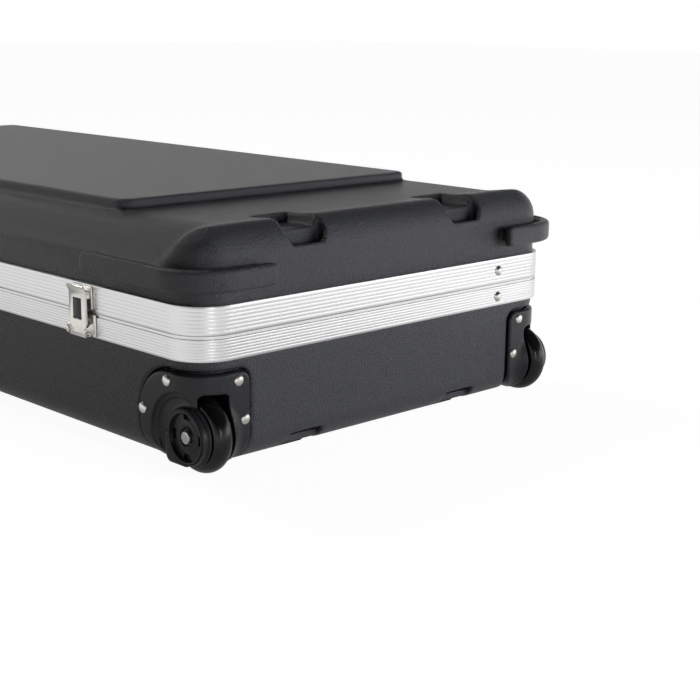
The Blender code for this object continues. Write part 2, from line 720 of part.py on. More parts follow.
def stay_points():
    """Pivots of a stay. The loop's four links are equally long, so each stays parallel to its opposite."""
    base = Vector((0, STAY_Y, SEAM_MIDDLE - STAY_RISE))
    top = Vector((0, STAY_Y, SEAM_MIDDLE + STAY_RISE))
    elbow = base + top - HINGE_AXIS
    return base, top, elbow


def stay_rivet(name, end, centre, depth):
    """A rivet through the band's end: a domed head outside, and a flat one behind the link at this depth."""
    place = (0, centre.y, centre.z)
    xs = sorted(end * (HALF_X - d) for d in (-GAP - 0.001, depth + 0.0005))
    pin = rod(name, "x", place, SHANK_RADIUS, *xs, "nickel", pivot=(end * HALF_X, centre.y, centre.z))
    head_place = (end * (HALF_X + GAP), centre.y, centre.z)
    combine(pin, turned("head", "x", head_place, rivet_head(end), steps=12), "UNION")
    tail = sorted(end * (HALF_X - d) for d in (depth, depth + 0.0012))
    combine(pin, rod("tail", "x", place, 0.0042, *tail), "UNION")
    return pin


def build_stays(lid):
    base, top, elbow = stay_points()
    for end, name in ((-1, "left"), (1, "wheel_end")):
        x = end * HALF_X
        holes = ((base, 0.0027), (elbow, 0.0034))
        lower = stay_link(f"stay_link_base_{name}", end, base, elbow, (0.0131, 0.0151), holes)
        holes = ((top, 0.0027),)
        upper = stay_link(f"stay_link_lid_{name}", end, top, elbow, (0.0106, 0.0126), holes, (0.0120, 0.0160))
        attach(lower, pivot(f"stay_base_pivot_{name}", (x, base.y, base.z)))
        attach(upper, pivot(f"stay_lid_pivot_{name}", (x, top.y, top.z), lid))
        attach(stay_rivet(f"stay_rivet_base_{name}", end, base, 0.0154), None)
        attach(stay_rivet(f"stay_rivet_lid_{name}", end, top, 0.0129), lid)


def stay_rivet_holes(which):
    base, top, _ = stay_points()
    centre = {"base": base, "lid": top}[which]
    reach = HALF_X + 0.01
    return rod("stay_hole", "x", (0, centre.y, centre.z), SHANK_RADIUS + GAP, -reach, reach)


def latch_box(x, u_range, v_range, z_range, name="latch_part", material=None, **more):
    """A box on the latch side: u runs along the case and v stands out from the band."""
    low = (x + u_range[0], -HALF_Y - v_range[1], z_range[0])
    high = (x + u_range[1], -HALF_Y - v_range[0], z_range[1])
    return box(name, low, high, material, **more)


def latch_rod(x, v, z, radius, u_range):
    return rod("latch_rod", "x", (x, -HALF_Y - v, z), radius, *u_range, steps=10)


def latch_outline(points):
    return [(-HALF_Y - v, z) for v, z in points]


def build_latch(number, x, lid):
    """A trigger latch: its claw holds the strike's ledge from above, and the trigger's catch from below."""
    lever_place = (x, -HALF_Y - LEVER_PIN[0], LEVER_PIN[1])
    trigger_place = (x, -HALF_Y - TRIGGER_PIN[0], TRIGGER_PIN[1])
    plate = ((-0.019, 0.019), (GAP, 0.0016), (0.1005, 0.1205))
    body = latch_box(x, *plate, f"latch_body_{number}", "nickel")
    ear_shape = rounded(
        latch_outline([(0.0012, 0.1005), (0.0098, 0.1005), (0.0098, 0.1080), (0.0012, 0.1130)]),
        [0, 0.003, 0.004, 0],
        3,
    )
    for sign in (-1, 1):
        edges = sorted((x + sign * 0.0130, x + sign * 0.0148))
        combine(body, prism("ear", ear_shape, "x", *edges), "UNION")
    combine(body, latch_rod(x, *LEVER_PIN, PIN_RADIUS + GAP, (-0.03, 0.03)))

    lever_shape = [
        (0.0052, 0.0998), (0.0074, 0.0998), (0.0074, 0.1400), (0.0102, 0.1448), (0.0090, 0.1460),
        (0.0060, 0.1412), (0.0022, 0.1412), (0.0022, 0.1386), (0.0052, 0.1386),
    ]
    edges = (x - 0.0125, x + 0.0125)
    outline = latch_outline(lever_shape)
    lever = prism(f"latch_lever_{number}", outline, "x", *edges, "nickel", pivot=lever_place)
    combine(lever, latch_rod(x, *LEVER_PIN, PIN_RADIUS, (-0.0152, 0.0152)), "UNION")
    combine(lever, latch_box(x, (-0.0065, 0.0065), (0.0040, 0.0090), (0.1150, 0.1345)))
    combine(lever, latch_rod(x, *TRIGGER_PIN, TRIGGER_PIN_RADIUS + GAP, (-0.0085, 0.0085)))

    trigger_shape = [
        (0.0054, 0.1154), (0.0080, 0.1160), (0.0072, 0.1200), (0.0072, 0.1338), (0.0036, 0.1338),
        (0.0036, 0.1318), (0.0054, 0.1318),
    ]
    edges = (x - 0.0061, x + 0.0061)
    outline = latch_outline(trigger_shape)
    trigger = prism(f"latch_trigger_{number}", outline, "x", *edges, "housing", pivot=trigger_place)
    combine(trigger, latch_rod(x, *TRIGGER_PIN, TRIGGER_PIN_RADIUS, (-0.0082, 0.0082)), "UNION")

    plate = ((-0.0145, 0.0145), (GAP, 0.0018), (0.1250, 0.1455))
    strike = latch_box(x, *plate, f"latch_strike_{number}", "nickel")
    combine(strike, latch_box(x, (-0.0115, 0.0115), (0.0010, 0.0048), (0.1342, 0.1382)), "UNION")
    attach(strike, lid)
    swing = pivot(f"latch_lever_pivot_{number}", lever_place)
    attach(lever, swing)
    attach(trigger, pivot(f"latch_trigger_pivot_{number}", trigger_place, swing))


def handle_place(kind, along, out, z):
    """A point on the front wall, or on the left end wall, by distance along and out from the wall."""
    if kind == "front":
        return (along, -WALL_Y - out, z)
    return (-WALL_X - out, along, z)


def handle_box(kind, along, out, z, name="handle_part", material=None, **more):
    first = handle_place(kind, along[0], out[0], z[0])
    second = handle_place(kind, along[1], out[1], z[1])
    low = [min(pair) for pair in zip(first, second)]
    high = [max(pair) for pair in zip(first, second)]
    return box(name, low, high, material, **more)


def build_handle(kind, name, spread):
    """A drop handle: two brackets on the wall and a grip that hangs between them."""
    axis = "x" if kind == "front" else "y"
    centre = handle_place(kind, 0, HANDLE_REACH, HANDLE_HEIGHT)
    wall, across = (-WALL_Y, "x") if kind == "front" else (-WALL_X, "y")
    section = [(wall - 0.0025, 0.034), (wall - 0.0135, 0.034), (wall - 0.0135, 0.050), (wall - 0.0025, 0.050)]
    reach = spread + 0.006
    outline = rounded(section, [0.0045] * 4, 3)
    grip = prism(f"{name}_grip", outline, across, -reach, reach, "grip", pivot=centre)
    for sign, side_name in ((-1, "a"), (1, "b")):
        middle = sign * spread
        arm = handle_box(kind, (middle - 0.005, middle + 0.005), (0.0050, 0.0110), (0.042, 0.0885))
        combine(grip, arm, "UNION")
        combine(grip, rod("stub", axis, centre, 0.0025, middle - 0.0085, middle + 0.0085), "UNION")
        plate = ((middle - 0.017, middle + 0.017), (GAP, 0.0022), (0.058, 0.0965))
        bracket = handle_box(kind, *plate, f"{name}_bracket_{side_name}", "housing")
        for ear in (-1, 1):
            edges = sorted((middle + ear * 0.0055, middle + ear * 0.0082))
            combine(bracket, handle_box(kind, edges, (0.0015, 0.0125), (0.0785, 0.0895)), "UNION")
        combine(bracket, rod("stub_hole", axis, centre, 0.0028, middle - 0.02, middle + 0.02))
    attach(grip, pivot(f"{name}_pivot", centre))


def build_case():
    lid = pivot("lid_pivot", HINGE_AXIS)
    base_shell = build_base_shell()
    base_valance = build_base_valance()
    lid_shell = build_lid_shell()
    lid_valance = build_lid_valance()
    for obj in (base_shell, base_valance):
        combine(obj, stay_rivet_holes("base"))
    for obj in (lid_shell, lid_valance):
        combine(obj, stay_rivet_holes("lid"))
    for obj in (lid_shell, lid_valance, build_gasket(), build_lid_foam()):
        attach(obj, lid)
    build_base_foam()
    build_foam_blocks()
    build_feet()
    for name, side in (("front", -1), ("rear", 1)):
        build_wheel_housing(f"wheel_housing_{name}", side)
        build_housing_rivets(f"wheel_rivets_{name}", side)
        build_wheel(name, side)
    build_hinge(lid)
    build_stays(lid)
    for number, x in enumerate(LATCH_X, 1):
        build_latch(number, x, lid)
    build_handle("front", "carry_handle", 0.070)
    build_handle("end", "pull_handle", 0.060)


remove_everything()
MATERIALS = make_materials()
build_case()
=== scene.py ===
# %% [markdown]
# # A wheeled keyboard case
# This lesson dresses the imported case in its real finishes: pebbled plastic shells, a ridged aluminium band,
# glossy wheels and bright rivets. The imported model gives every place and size.

# %% Load the frame
import json
import math

import bmesh
import bpy
import numpy as np
from mathutils import Matrix, Vector


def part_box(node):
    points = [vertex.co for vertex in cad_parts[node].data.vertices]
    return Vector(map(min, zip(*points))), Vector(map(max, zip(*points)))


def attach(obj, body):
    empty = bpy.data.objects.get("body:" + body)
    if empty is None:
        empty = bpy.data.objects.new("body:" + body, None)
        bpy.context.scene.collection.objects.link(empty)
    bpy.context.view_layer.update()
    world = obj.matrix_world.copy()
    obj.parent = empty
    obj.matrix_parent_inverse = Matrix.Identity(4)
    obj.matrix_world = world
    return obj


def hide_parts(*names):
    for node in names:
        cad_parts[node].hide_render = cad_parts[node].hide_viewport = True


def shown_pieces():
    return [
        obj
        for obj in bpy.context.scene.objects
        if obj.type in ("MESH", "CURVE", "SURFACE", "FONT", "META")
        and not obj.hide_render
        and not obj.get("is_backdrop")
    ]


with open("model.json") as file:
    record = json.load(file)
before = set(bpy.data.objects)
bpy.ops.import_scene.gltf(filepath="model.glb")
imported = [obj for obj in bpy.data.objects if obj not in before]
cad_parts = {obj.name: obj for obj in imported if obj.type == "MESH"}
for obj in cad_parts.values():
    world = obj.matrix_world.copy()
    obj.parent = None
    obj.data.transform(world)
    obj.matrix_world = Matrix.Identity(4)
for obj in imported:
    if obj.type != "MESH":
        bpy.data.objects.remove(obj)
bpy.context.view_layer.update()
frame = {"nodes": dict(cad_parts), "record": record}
NODES = frame["nodes"]

# %% [markdown]
# ## Driving sizes
# The band's own box gives its outer faces, and everything else is measured inward from them.

# %% Sizes, in metres
BAND_LOW, BAND_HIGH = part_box("base_valance")
HALF_X = BAND_HIGH.x
HALF_Y = BAND_HIGH.y
BAND_CORNER = 0.038
PHOTO_SIDE = 700
FOCAL_PIXELS = 1417.8
CAMERA_PLACE = (1.4475, -0.9231, 0.3839)
CAMERA_AZIMUTH = 45.683
CAMERA_ELEVATION = 13.482
CAMERA_ROLL = 0.622

# %% [markdown]
# ## Camera
# The photograph was taken from beside the wheel end, a little above the lid.
# The camera's turn comes from its azimuth and elevation, with a slight roll.


# %% Camera
def make_camera():
    data = bpy.data.cameras.new("camera")
    data.sensor_width = 36
    data.lens = FOCAL_PIXELS / PHOTO_SIDE * data.sensor_width
    data.clip_start = 0.05
    data.clip_end = 50
    camera = bpy.data.objects.new("camera", data)
    bpy.context.scene.collection.objects.link(camera)
    azimuth = math.radians(CAMERA_AZIMUTH)
    elevation = math.radians(CAMERA_ELEVATION)
    level = math.cos(elevation)
    back = Vector((math.sin(azimuth) * level, -math.cos(azimuth) * level, math.sin(elevation)))
    turn = back.to_track_quat("Z", "Y").to_matrix().to_4x4()
    roll = Matrix.Rotation(math.radians(CAMERA_ROLL), 4, "Z")
    camera.matrix_world = Matrix.Translation(CAMERA_PLACE) @ turn @ roll
    bpy.context.scene.camera = camera


make_camera()

# %% [markdown]
# ## Studio
# A matt floor and a bright sky give the white surroundings. Both are white to the camera and in gloss and add
# little light of their own, except that close round the case the floor's glow in gloss is dimmed: a painted
# shadow of the case. A wide soft lamp lights the far side and the wheel end, a low one behind it and a narrow
# strip give the band and the wheels their streaks, and a high one lifts the lid's top.


# %% Studio
CAMERA_SIDE = (0.82, -0.57, 0.0)
CAMERA_SIDE_EDGE = {"From Min": 0.55, "From Max": 0.95, "To Min": 1.0, "To Max": 0.45}
CEILING_EDGE = {"From Min": 0.12, "From Max": 0.42, "To Min": 1.0, "To Max": 0.03}
FILL_SHARE = 0.05
FLOOR_WHITE = 0.95
# Painted shadow: the floor's glow, as gloss sees it, is dimmed in a ring close round the case, in place of the case's
# shadow.
PAINTED_SHADOW_SPREAD = (1.6, 3.3, 0)
PAINTED_FLOOR_SHADOW = {"From Min": 1.1, "From Max": 1.8, "To Min": 0.4, "To Max": 1.0}


def hex_colour(code):
    """A linear colour from an sRGB code."""
    channels = [int(code[i : i + 2], 16) / 255 for i in (0, 2, 4)]
    return [c / 12.92 if c <= 0.04045 else ((c + 0.055) / 1.055) ** 2.4 for c in channels] + [1]


def add_node(tree, kind, values=(), **settings):
    """A new node with its input values and its settings."""
    node = tree.nodes.new(kind)
    for key, value in settings.items():
        setattr(node, key, value)
    for key, value in dict(values).items():
        node.inputs[key].default_value = value
    return node


def seen_rays(tree):
    """1 for what the camera sees, itself or by way of gloss or glass, and 0 for light that only fills."""
    path = add_node(tree, "ShaderNodeLightPath")
    either = add_node(tree, "ShaderNodeMath", operation="MAXIMUM")
    tree.links.new(path.outputs["Is Camera Ray"], either.inputs[0])
    tree.links.new(path.outputs["Is Glossy Ray"], either.inputs[1])
    seen = add_node(tree, "ShaderNodeMath", operation="MAXIMUM")
    tree.links.new(either.outputs["Value"], seen.inputs[0])
    tree.links.new(path.outputs["Is Transmission Ray"], seen.inputs[1])
    return seen.outputs["Value"], path.outputs["Is Camera Ray"]


def make_room():
    """A white sweep behind and beside the case; the ceiling and the side where the camera stands are dark."""
    world = bpy.data.worlds.new("studio")
    bpy.context.scene.world = world
    world.use_nodes = True
    tree = world.node_tree
    link = tree.links.new
    way = add_node(tree, "ShaderNodeTexCoord")
    toward = add_node(tree, "ShaderNodeVectorMath", {1: CAMERA_SIDE}, operation="DOT_PRODUCT")
    link(way.outputs["Generated"], toward.inputs[0])
    behind = add_node(tree, "ShaderNodeMapRange", CAMERA_SIDE_EDGE, interpolation_type="SMOOTHSTEP")
    link(toward.outputs["Value"], behind.inputs["Value"])
    split = add_node(tree, "ShaderNodeSeparateXYZ")
    link(way.outputs["Generated"], split.inputs["Vector"])
    low = add_node(tree, "ShaderNodeMapRange", CEILING_EDGE, interpolation_type="SMOOTHSTEP")
    link(split.outputs["Z"], low.inputs["Value"])
    sweep = add_node(tree, "ShaderNodeMath", operation="MULTIPLY")
    link(behind.outputs["Result"], sweep.inputs[0])
    link(low.outputs["Result"], sweep.inputs[1])
    seen, camera_ray = seen_rays(tree)
    share = add_node(tree, "ShaderNodeMapRange", {"To Min": FILL_SHARE, "To Max": 1.0})
    link(seen, share.inputs["Value"])
    level = add_node(tree, "ShaderNodeMath", operation="MULTIPLY")
    link(sweep.outputs["Value"], level.inputs[0])
    link(share.outputs["Result"], level.inputs[1])
    white = add_node(tree, "ShaderNodeMath", operation="MAXIMUM")
    link(level.outputs["Value"], white.inputs[0])
    link(camera_ray, white.inputs[1])
    background = tree.nodes["Background"]
    background.inputs["Color"].default_value = hex_colour("FFFFFF")
    link(white.outputs["Value"], background.inputs["Strength"])


def floor_paper():
    """Matt paper that is white to the camera; to what reflects it, its glow is dimmed close round the case, a painted
    shadow of the case on the floor.
    """
    material = plain_material("floor_paper", "606060", 0.9)
    tree = material.node_tree
    shader = tree.nodes["Principled BSDF"]
    shader.inputs["Emission Color"].default_value = hex_colour("FFFFFF")
    place = add_node(tree, "ShaderNodeTexCoord")
    spread = add_node(tree, "ShaderNodeVectorMath", {1: PAINTED_SHADOW_SPREAD}, operation="MULTIPLY")
    tree.links.new(place.outputs["Object"], spread.inputs[0])
    distance = add_node(tree, "ShaderNodeVectorMath", operation="LENGTH")
    tree.links.new(spread.outputs["Vector"], distance.inputs[0])
    # Painted shadow of the case: the glow falls from full far off to its lowest close round the case.
    level = add_node(tree, "ShaderNodeMapRange", PAINTED_FLOOR_SHADOW, interpolation_type="SMOOTHSTEP")
    tree.links.new(distance.outputs["Value"], level.inputs["Value"])
    seen, camera_ray = seen_rays(tree)
    either = add_node(tree, "ShaderNodeMath", operation="MAXIMUM")
    tree.links.new(level.outputs["Result"], either.inputs[0])
    tree.links.new(camera_ray, either.inputs[1])
    shown = add_node(tree, "ShaderNodeMath", operation="MULTIPLY")
    tree.links.new(either.outputs["Value"], shown.inputs[0])
    tree.links.new(seen, shown.inputs[1])
    glow = add_node(tree, "ShaderNodeMath", {1: FLOOR_WHITE}, operation="MULTIPLY")
    tree.links.new(shown.outputs["Value"], glow.inputs[0])
    tree.links.new(glow.outputs["Value"], shader.inputs["Emission Strength"])
    return material


def area_light(name, place, target, size, watts, shines=True):
    """A soft rectangular lamp; one that doesn't shine lights the object but isn't mirrored in it."""
    data = bpy.data.lights.new(name, "AREA")
    data.shape = "RECTANGLE"
    data.size, data.size_y = size
    data.energy = watts
    light = bpy.data.objects.new(name, data)
    bpy.context.scene.collection.objects.link(light)
    light.location = place
    light.rotation_euler = (Vector(target) - Vector(place)).to_track_quat("-Z", "Y").to_euler()
    light.visible_glossy = shines


def make_floor():
    bm = bmesh.new()
    bmesh.ops.create_grid(bm, x_segments=1, y_segments=1, size=12)
    mesh = bpy.data.meshes.new("floor")
    bm.to_mesh(mesh)
    bm.free()
    floor = bpy.data.objects.new("floor", mesh)
    floor.location.z = -0.0005
    bpy.context.scene.collection.objects.link(floor)
    mesh.materials.append(floor_paper())
    floor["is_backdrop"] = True


def make_studio():
    bpy.context.scene.view_settings.view_transform = "Standard"
    make_room()
    make_floor()
    area_light("side_softbox", (3.4, 1.5, 0.45), (0.4, 0, 0.08), (2.8, 0.9), 140, shines=False)
    area_light("side_glow", (2.3, 1.9, 0.30), (0.5, 0, 0.1), (2.2, 1.0), 9)
    area_light("high_softbox", (-1.7, -0.3, 2.3), (0.2, 0, 0.2), (0.8, 0.8), 24)
    area_light("end_strip", (2.45, -0.85, 0.35), (0.5, -0.2, 0.15), (0.16, 0.6), 2.5)


# %% [markdown]
# ## Materials
# Each finish is made of nodes in Object coordinates, so its grain has a real size. One noise drives its
# colour, its roughness and, through a Bump node, its height. A stretched noise makes a brushed grain.


# %% Materials
def new_material(name):
    material = bpy.data.materials.new(name)
    material.use_nodes = True
    return material, material.node_tree, material.node_tree.nodes["Principled BSDF"]


def plain_material(name, code, roughness, metallic=0.0):
    material, tree, shader = new_material(name)
    shader.inputs["Base Color"].default_value = hex_colour(code)
    shader.inputs["Roughness"].default_value = roughness
    shader.inputs["Metallic"].default_value = metallic
    return material


def varied_material(name, dark, light, roughness, scale, bump, metallic=0.0, stretch=(1, 1, 1), spread=0.08, gloss=0.3):
    """A finish whose colour, roughness and height all follow one noise of a real size."""
    material, tree, shader = new_material(name)
    link = tree.links.new
    place = add_node(tree, "ShaderNodeTexCoord")
    mapping = add_node(tree, "ShaderNodeMapping", {"Scale": stretch})
    link(place.outputs["Object"], mapping.inputs["Vector"])
    grain = add_node(tree, "ShaderNodeTexNoise", {"Scale": scale, "Detail": 3.0, "Roughness": 0.6})
    link(mapping.outputs["Vector"], grain.inputs["Vector"])
    ramp = add_node(tree, "ShaderNodeValToRGB")
    ramp.color_ramp.elements[0].position = 0.35
    ramp.color_ramp.elements[0].color = hex_colour(dark)
    ramp.color_ramp.elements[1].position = 0.68
    ramp.color_ramp.elements[1].color = hex_colour(light)
    link(grain.outputs["Fac"], ramp.inputs["Fac"])
    link(ramp.outputs["Color"], shader.inputs["Base Color"])
    rough = add_node(
        tree,
        "ShaderNodeMapRange",
        {"From Min": 0.3, "From Max": 0.7, "To Min": roughness - spread, "To Max": roughness + spread},
    )
    link(grain.outputs["Fac"], rough.inputs["Value"])
    link(rough.outputs["Result"], shader.inputs["Roughness"])
    height = add_node(tree, "ShaderNodeBump", {"Strength": 1.0, "Distance": bump})
    link(grain.outputs["Fac"], height.inputs["Height"])
    link(height.outputs["Normal"], shader.inputs["Normal"])
    shader.inputs["Metallic"].default_value = metallic
    if not metallic:
        shader.inputs["IOR"].default_value = 1.46
        shader.inputs["Specular IOR Level"].default_value = gloss
    return material


def plastic_finishes():
    return {
        # Polyethylene blown into a blasted mould: the pebbled skin breaks every highlight into a soft sheen.
        "shell": varied_material("pebbled_plastic", "28292D", "3A3B40", 0.34, 620, 0.0012, gloss=0.5),
        # Polypropylene from a satin-polished mould: almost no grain, so it looks blacker than the shells.
        "housing": varied_material("satin_plastic", "191A1D", "232428", 0.34, 900, 0.00006, gloss=0.4),
        # Polyurethane cast in a polished mould: a wet gloss with one clean streak round the tread.
        "tyre": varied_material(
            "glossy_polyurethane", "0B0C0D", "101113", 0.22, 40, 0.00002, spread=0.03, gloss=0.5
        ),
        # Glass-filled nylon, moulded: a fine even satin inside the dark wheel.
        "hub": varied_material("hub_plastic", "141517", "1D1E21", 0.3, 700, 0.00004),
        # Open-cell polyurethane foam, cut from a block: charcoal grey with no sheen at all.
        "foam": varied_material("cell_foam", "36373A", "4C4D51", 0.95, 1500, 0.0005, spread=0.03),
        # Vulcanised rubber, pressed: dull black.
        "rubber": varied_material("foot_rubber", "101012", "1A1A1C", 0.75, 800, 0.0001),
        # Plasticised vinyl moulded over a steel core: a soft touch, between matt and satin.
        "grip": varied_material("soft_touch_plastic", "151517", "1F1F22", 0.55, 1100, 0.0001),
    }


def metal_finishes():
    return {
        # Aluminium, extruded and clear anodised: pale, with faint lines along the extrusion.
        "aluminium": varied_material("satin_aluminium", "DCDCDD", "E9E9E9", 0.36, 300, 0.00001, 1.0, (0.05, 0.05, 1)),
        # Steel, pressed and nickel plated: bright, slightly warm, nearly smooth.
        "nickel": varied_material("bright_nickel", "DCD9D3", "E8E5DF", 0.34, 2200, 0.000004, 1.0, spread=0.03),
        # Steel bar, drawn and left bare: greyer than the nickel, with a soft grain.
        "steel": varied_material("brushed_steel", "A9AAAD", "C9CACD", 0.28, 500, 0.00002, 1.0),
    }


# One material for each of the record's slots.
FINISHES = {**plastic_finishes(), **metal_finishes()}
make_studio()


# %% [markdown]
# ## Dressing the nodes
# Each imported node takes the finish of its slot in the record.


# %% Dress
SLOTS = {row["node"]: row["material_slot"] for row in frame["record"]["subparts"]}


def dress_nodes():
    for name, obj in NODES.items():
        obj.data.materials.clear()
        obj.data.materials.append(FINISHES[SLOTS[name]])


dress_nodes()

# %% [markdown]
# ## Mesh helpers
# A ring is one closed outline, and a loft joins rings of equal length, so a band, a tyre or a rivet head
# is a short list of stations.


# %% Mesh helpers
CORNER_STEPS = 14


def plan_ring(inset, z):
    """The case's outline in plan, this far inside the band's outer face."""
    radius = max(BAND_CORNER - inset, 0.004)
    half_x = HALF_X - inset - radius
    half_y = HALF_Y - inset - radius
    points = []
    for quarter, (sx, sy) in enumerate(((1, 1), (-1, 1), (-1, -1), (1, -1))):
        for step in range(CORNER_STEPS + 1):
            angle = math.pi / 2 * (quarter + step / CORNER_STEPS)
            x = sx * half_x + radius * math.cos(angle)
            y = sy * half_y + radius * math.sin(angle)
            points.append(Vector((x, y, z)))
    return points


def turned_rings(centre, axis, profile, steps):
    """Rings round an axis through the centre, one for each (radius, distance along) station."""
    along = Vector(axis).normalized()
    across = along.orthogonal().normalized()
    other = along.cross(across)
    rings = []
    for radius, distance in profile:
        ring = []
        for step in range(steps):
            angle = 2 * math.pi * step / steps
            spoke = across * math.cos(angle) + other * math.sin(angle)
            ring.append(Vector(centre) + along * distance + spoke * radius)
        rings.append(ring)
    return rings


def loft(name, rings, material, closed=False, sharp=30):
    """A smooth-shaded mesh through the rings, joined round into a loop or capped at both ends."""
    bm = bmesh.new()
    rows = [[bm.verts.new(point) for point in ring] for ring in rings]
    pairs = list(zip(rows, rows[1:]))
    if closed:
        pairs.append((rows[-1], rows[0]))
    for low, high in pairs:
        for i in range(len(low)):
            j = (i + 1) % len(low)
            bm.faces.new((low[i], low[j], high[j], high[i]))
    if not closed:
        bm.faces.new(rows[0])
        bm.faces.new(rows[-1])
    bmesh.ops.recalc_face_normals(bm, faces=bm.faces)
    mesh = bpy.data.meshes.new(name)
    bm.to_mesh(mesh)
    bm.free()
    mesh.materials.append(material)
    mesh.shade_smooth()
    mesh.set_sharp_from_angle(angle=math.radians(sharp))
    obj = bpy.data.objects.new(name, mesh)
    bpy.context.scene.collection.objects.link(obj)
    return obj


# %% [markdown]
# ## The ridged band
# Each half of the band is one extrusion. Its outer face carries fine ridges, so its section is worked out
# station by station, and the same rings run round the whole case.

# %% Band
RIDGES = 7
RIDGE_DEPTH = 0.00012
RIDGE_PROFILE = ((1, 0.02), (0.72, 0.13), (0.18, 0.30), (0, 0.5), (0.18, 0.70), (0.72, 0.87), (1, 0.98))
LEG = 0.0037
INNER_LEG = (0.0083, 0.0103)


def ridge_stations(low, high):
    """Rounded ridges between two heights, from the lower to the upper, as (inset, height)."""
    stations = []
    pitch = (high - low) / RIDGES
    for ridge in range(RIDGES):
        start = low + ridge * pitch
        for share, across in RIDGE_PROFILE:
            stations.append((share * RIDGE_DEPTH, start + across * pitch))
    return stations


def base_band_section():
    low, high = BAND_LOW.z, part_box("base_valance")[1].z - 0.0025
    near, far = INNER_LEG
    outside = [(LEG, low), (0.0004, low)] + ridge_stations(low + 0.0008, high - 0.0031)
    outside += [(0.0012, high - 0.0027), (0.0012, high - 0.0014), (0.0003, high - 0.0011), (0.0003, high)]
    inside = [(0.0048, high), (0.0050, high + 0.0025), (0.0064, high + 0.0025), (0.0066, high)]
    inside += [(far, high), (far, 0.105), (near, 0.105), (near, high - 0.0033), (LEG, high - 0.0033)]
    return outside + inside


def lid_band_section():
    low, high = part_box("lid_valance")[0].z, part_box("lid_valance")[1].z
    near, far = INNER_LEG
    outside = [(LEG, high), (0.0004, high)] + ridge_stations(low + 0.0008, high - 0.0008)[::-1] + [(0.0004, low)]
    inside = [(0.0043, low), (0.0043, low + 0.0042), (0.0079, low + 0.0042), (0.0079, low), (far, low)]
    inside += [(far, 0.142), (near, 0.142), (near, low + 0.0075), (LEG, low + 0.0075)]
    return outside + inside


def build_band(name, section, body, node):
    rings = [plan_ring(inset, z) for inset, z in section]
    band = loft(name, rings, FINISHES["aluminium"], closed=True, sharp=25)
    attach(band, body)
    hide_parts(node)


build_band("band_base_half", base_band_section(), "root", "base_valance")
build_band("band_lid_half", lid_band_section(), "lid", "lid_valance")

# %% [markdown]
# ## Moulded shells as fields
# A blow-moulded shell has no sharp edge, so each shell is written as a field: a function of place that is
# negative inside the plastic. Unions and cuts of fields take a rounding radius, like the real mould's fillets.


# %% Fields
def round_cut(first, second, radius):
    """The larger of two fields, with the edge between them rounded."""
    near = np.maximum(radius - np.abs(first - second), 0) / radius
    return np.maximum(first, second) + near * near * radius / 4


def round_join(first, second, radius):
    return -round_cut(-first, -second, radius)


def plan_field(x, y, half_x, half_y, radius):
    """Distance from a rounded rectangle in plan, for the quarter where x and y are positive."""
    beyond_x = x - half_x + radius
    beyond_y = y - half_y + radius
    outside = np.hypot(np.maximum(beyond_x, 0), np.maximum(beyond_y, 0))
    return outside + np.minimum(np.maximum(beyond_x, beyond_y), 0) - radius


def rounded_top(plan, below_top, radius):
    """A plan field raised to a flat top, whose upper edge is rolled over."""
    beyond_side = plan + radius
    beyond_top = radius - below_top
    outside = np.hypot(np.maximum(beyond_side, 0), np.maximum(beyond_top, 0))
    return outside + np.minimum(np.maximum(beyond_side, beyond_top), 0) - radius


# %% [markdown]
# A surface net turns a field into a mesh: each grid cell that the surface crosses gets one point, at the
# mean of the crossings on its edges, and each crossed grid edge gets one quad. The grid is fine only where
# the shape needs it.


# %% Surface net
def net_points(field, axes):
    """Cells that the surface crosses, their points, and the field's sign on the grid."""
    inside = field < 0
    corners = [(i, j, k) for i in (0, 1) for j in (0, 1) for k in (0, 1)]
    size = [n - 1 for n in field.shape]
    window = [tuple(slice(o, o + n) for o, n in zip(corner, size)) for corner in corners]
    count = sum(inside[w].astype(np.int8) for w in window)
    cells = np.argwhere((count > 0) & (count < 8))
    values = np.stack([field[tuple((cells + corner).T)] for corner in corners], 1)
    places = np.stack(
        [np.stack([axes[a][cells[:, a] + corner[a]] for a in range(3)], 1) for corner in corners], 1
    )
    total = np.zeros((len(cells), 3))
    crossings = np.zeros(len(cells))
    for a, first in enumerate(corners):
        for b, second in enumerate(corners):
            if b <= a or sum(abs(p - q) for p, q in zip(first, second)) != 1:
                continue
            crossed = (values[:, a] < 0) != (values[:, b] < 0)
            share = np.where(crossed, values[:, a] / np.where(crossed, values[:, a] - values[:, b], 1), 0)
            place = places[:, a] + share[:, None] * (places[:, b] - places[:, a])
            total += place * crossed[:, None]
            crossings += crossed
    return cells, total / crossings[:, None], inside


def net_quads(cells, inside):
    """One quad round each grid edge that the surface crosses, facing out."""
    index = np.full([n - 1 for n in inside.shape], -1, np.int64)
    index[tuple(cells.T)] = np.arange(len(cells))
    quads = []
    for axis in range(3):
        u, v = (axis + 1) % 3, (axis + 2) % 3
        start = [slice(1, -1)] * 3
        end = [slice(1, -1)] * 3
        start[axis] = slice(0, -1)
        end[axis] = slice(1, None)
        first, second = inside[tuple(start)], inside[tuple(end)]
        for outward, chosen in ((1, first & ~second), (-1, ~first & second)):
            edge = np.argwhere(chosen)
            for other in (u, v):
                edge[:, other] += 1
            ring = []
            for du, dv in ((-1, -1), (0, -1), (0, 0), (-1, 0))[::outward]:
                cell = edge.copy()
                cell[:, u] += du
                cell[:, v] += dv
                ring.append(index[tuple(cell.T)])
            quads.append(np.stack(ring, 1))
    return np.concatenate(quads)


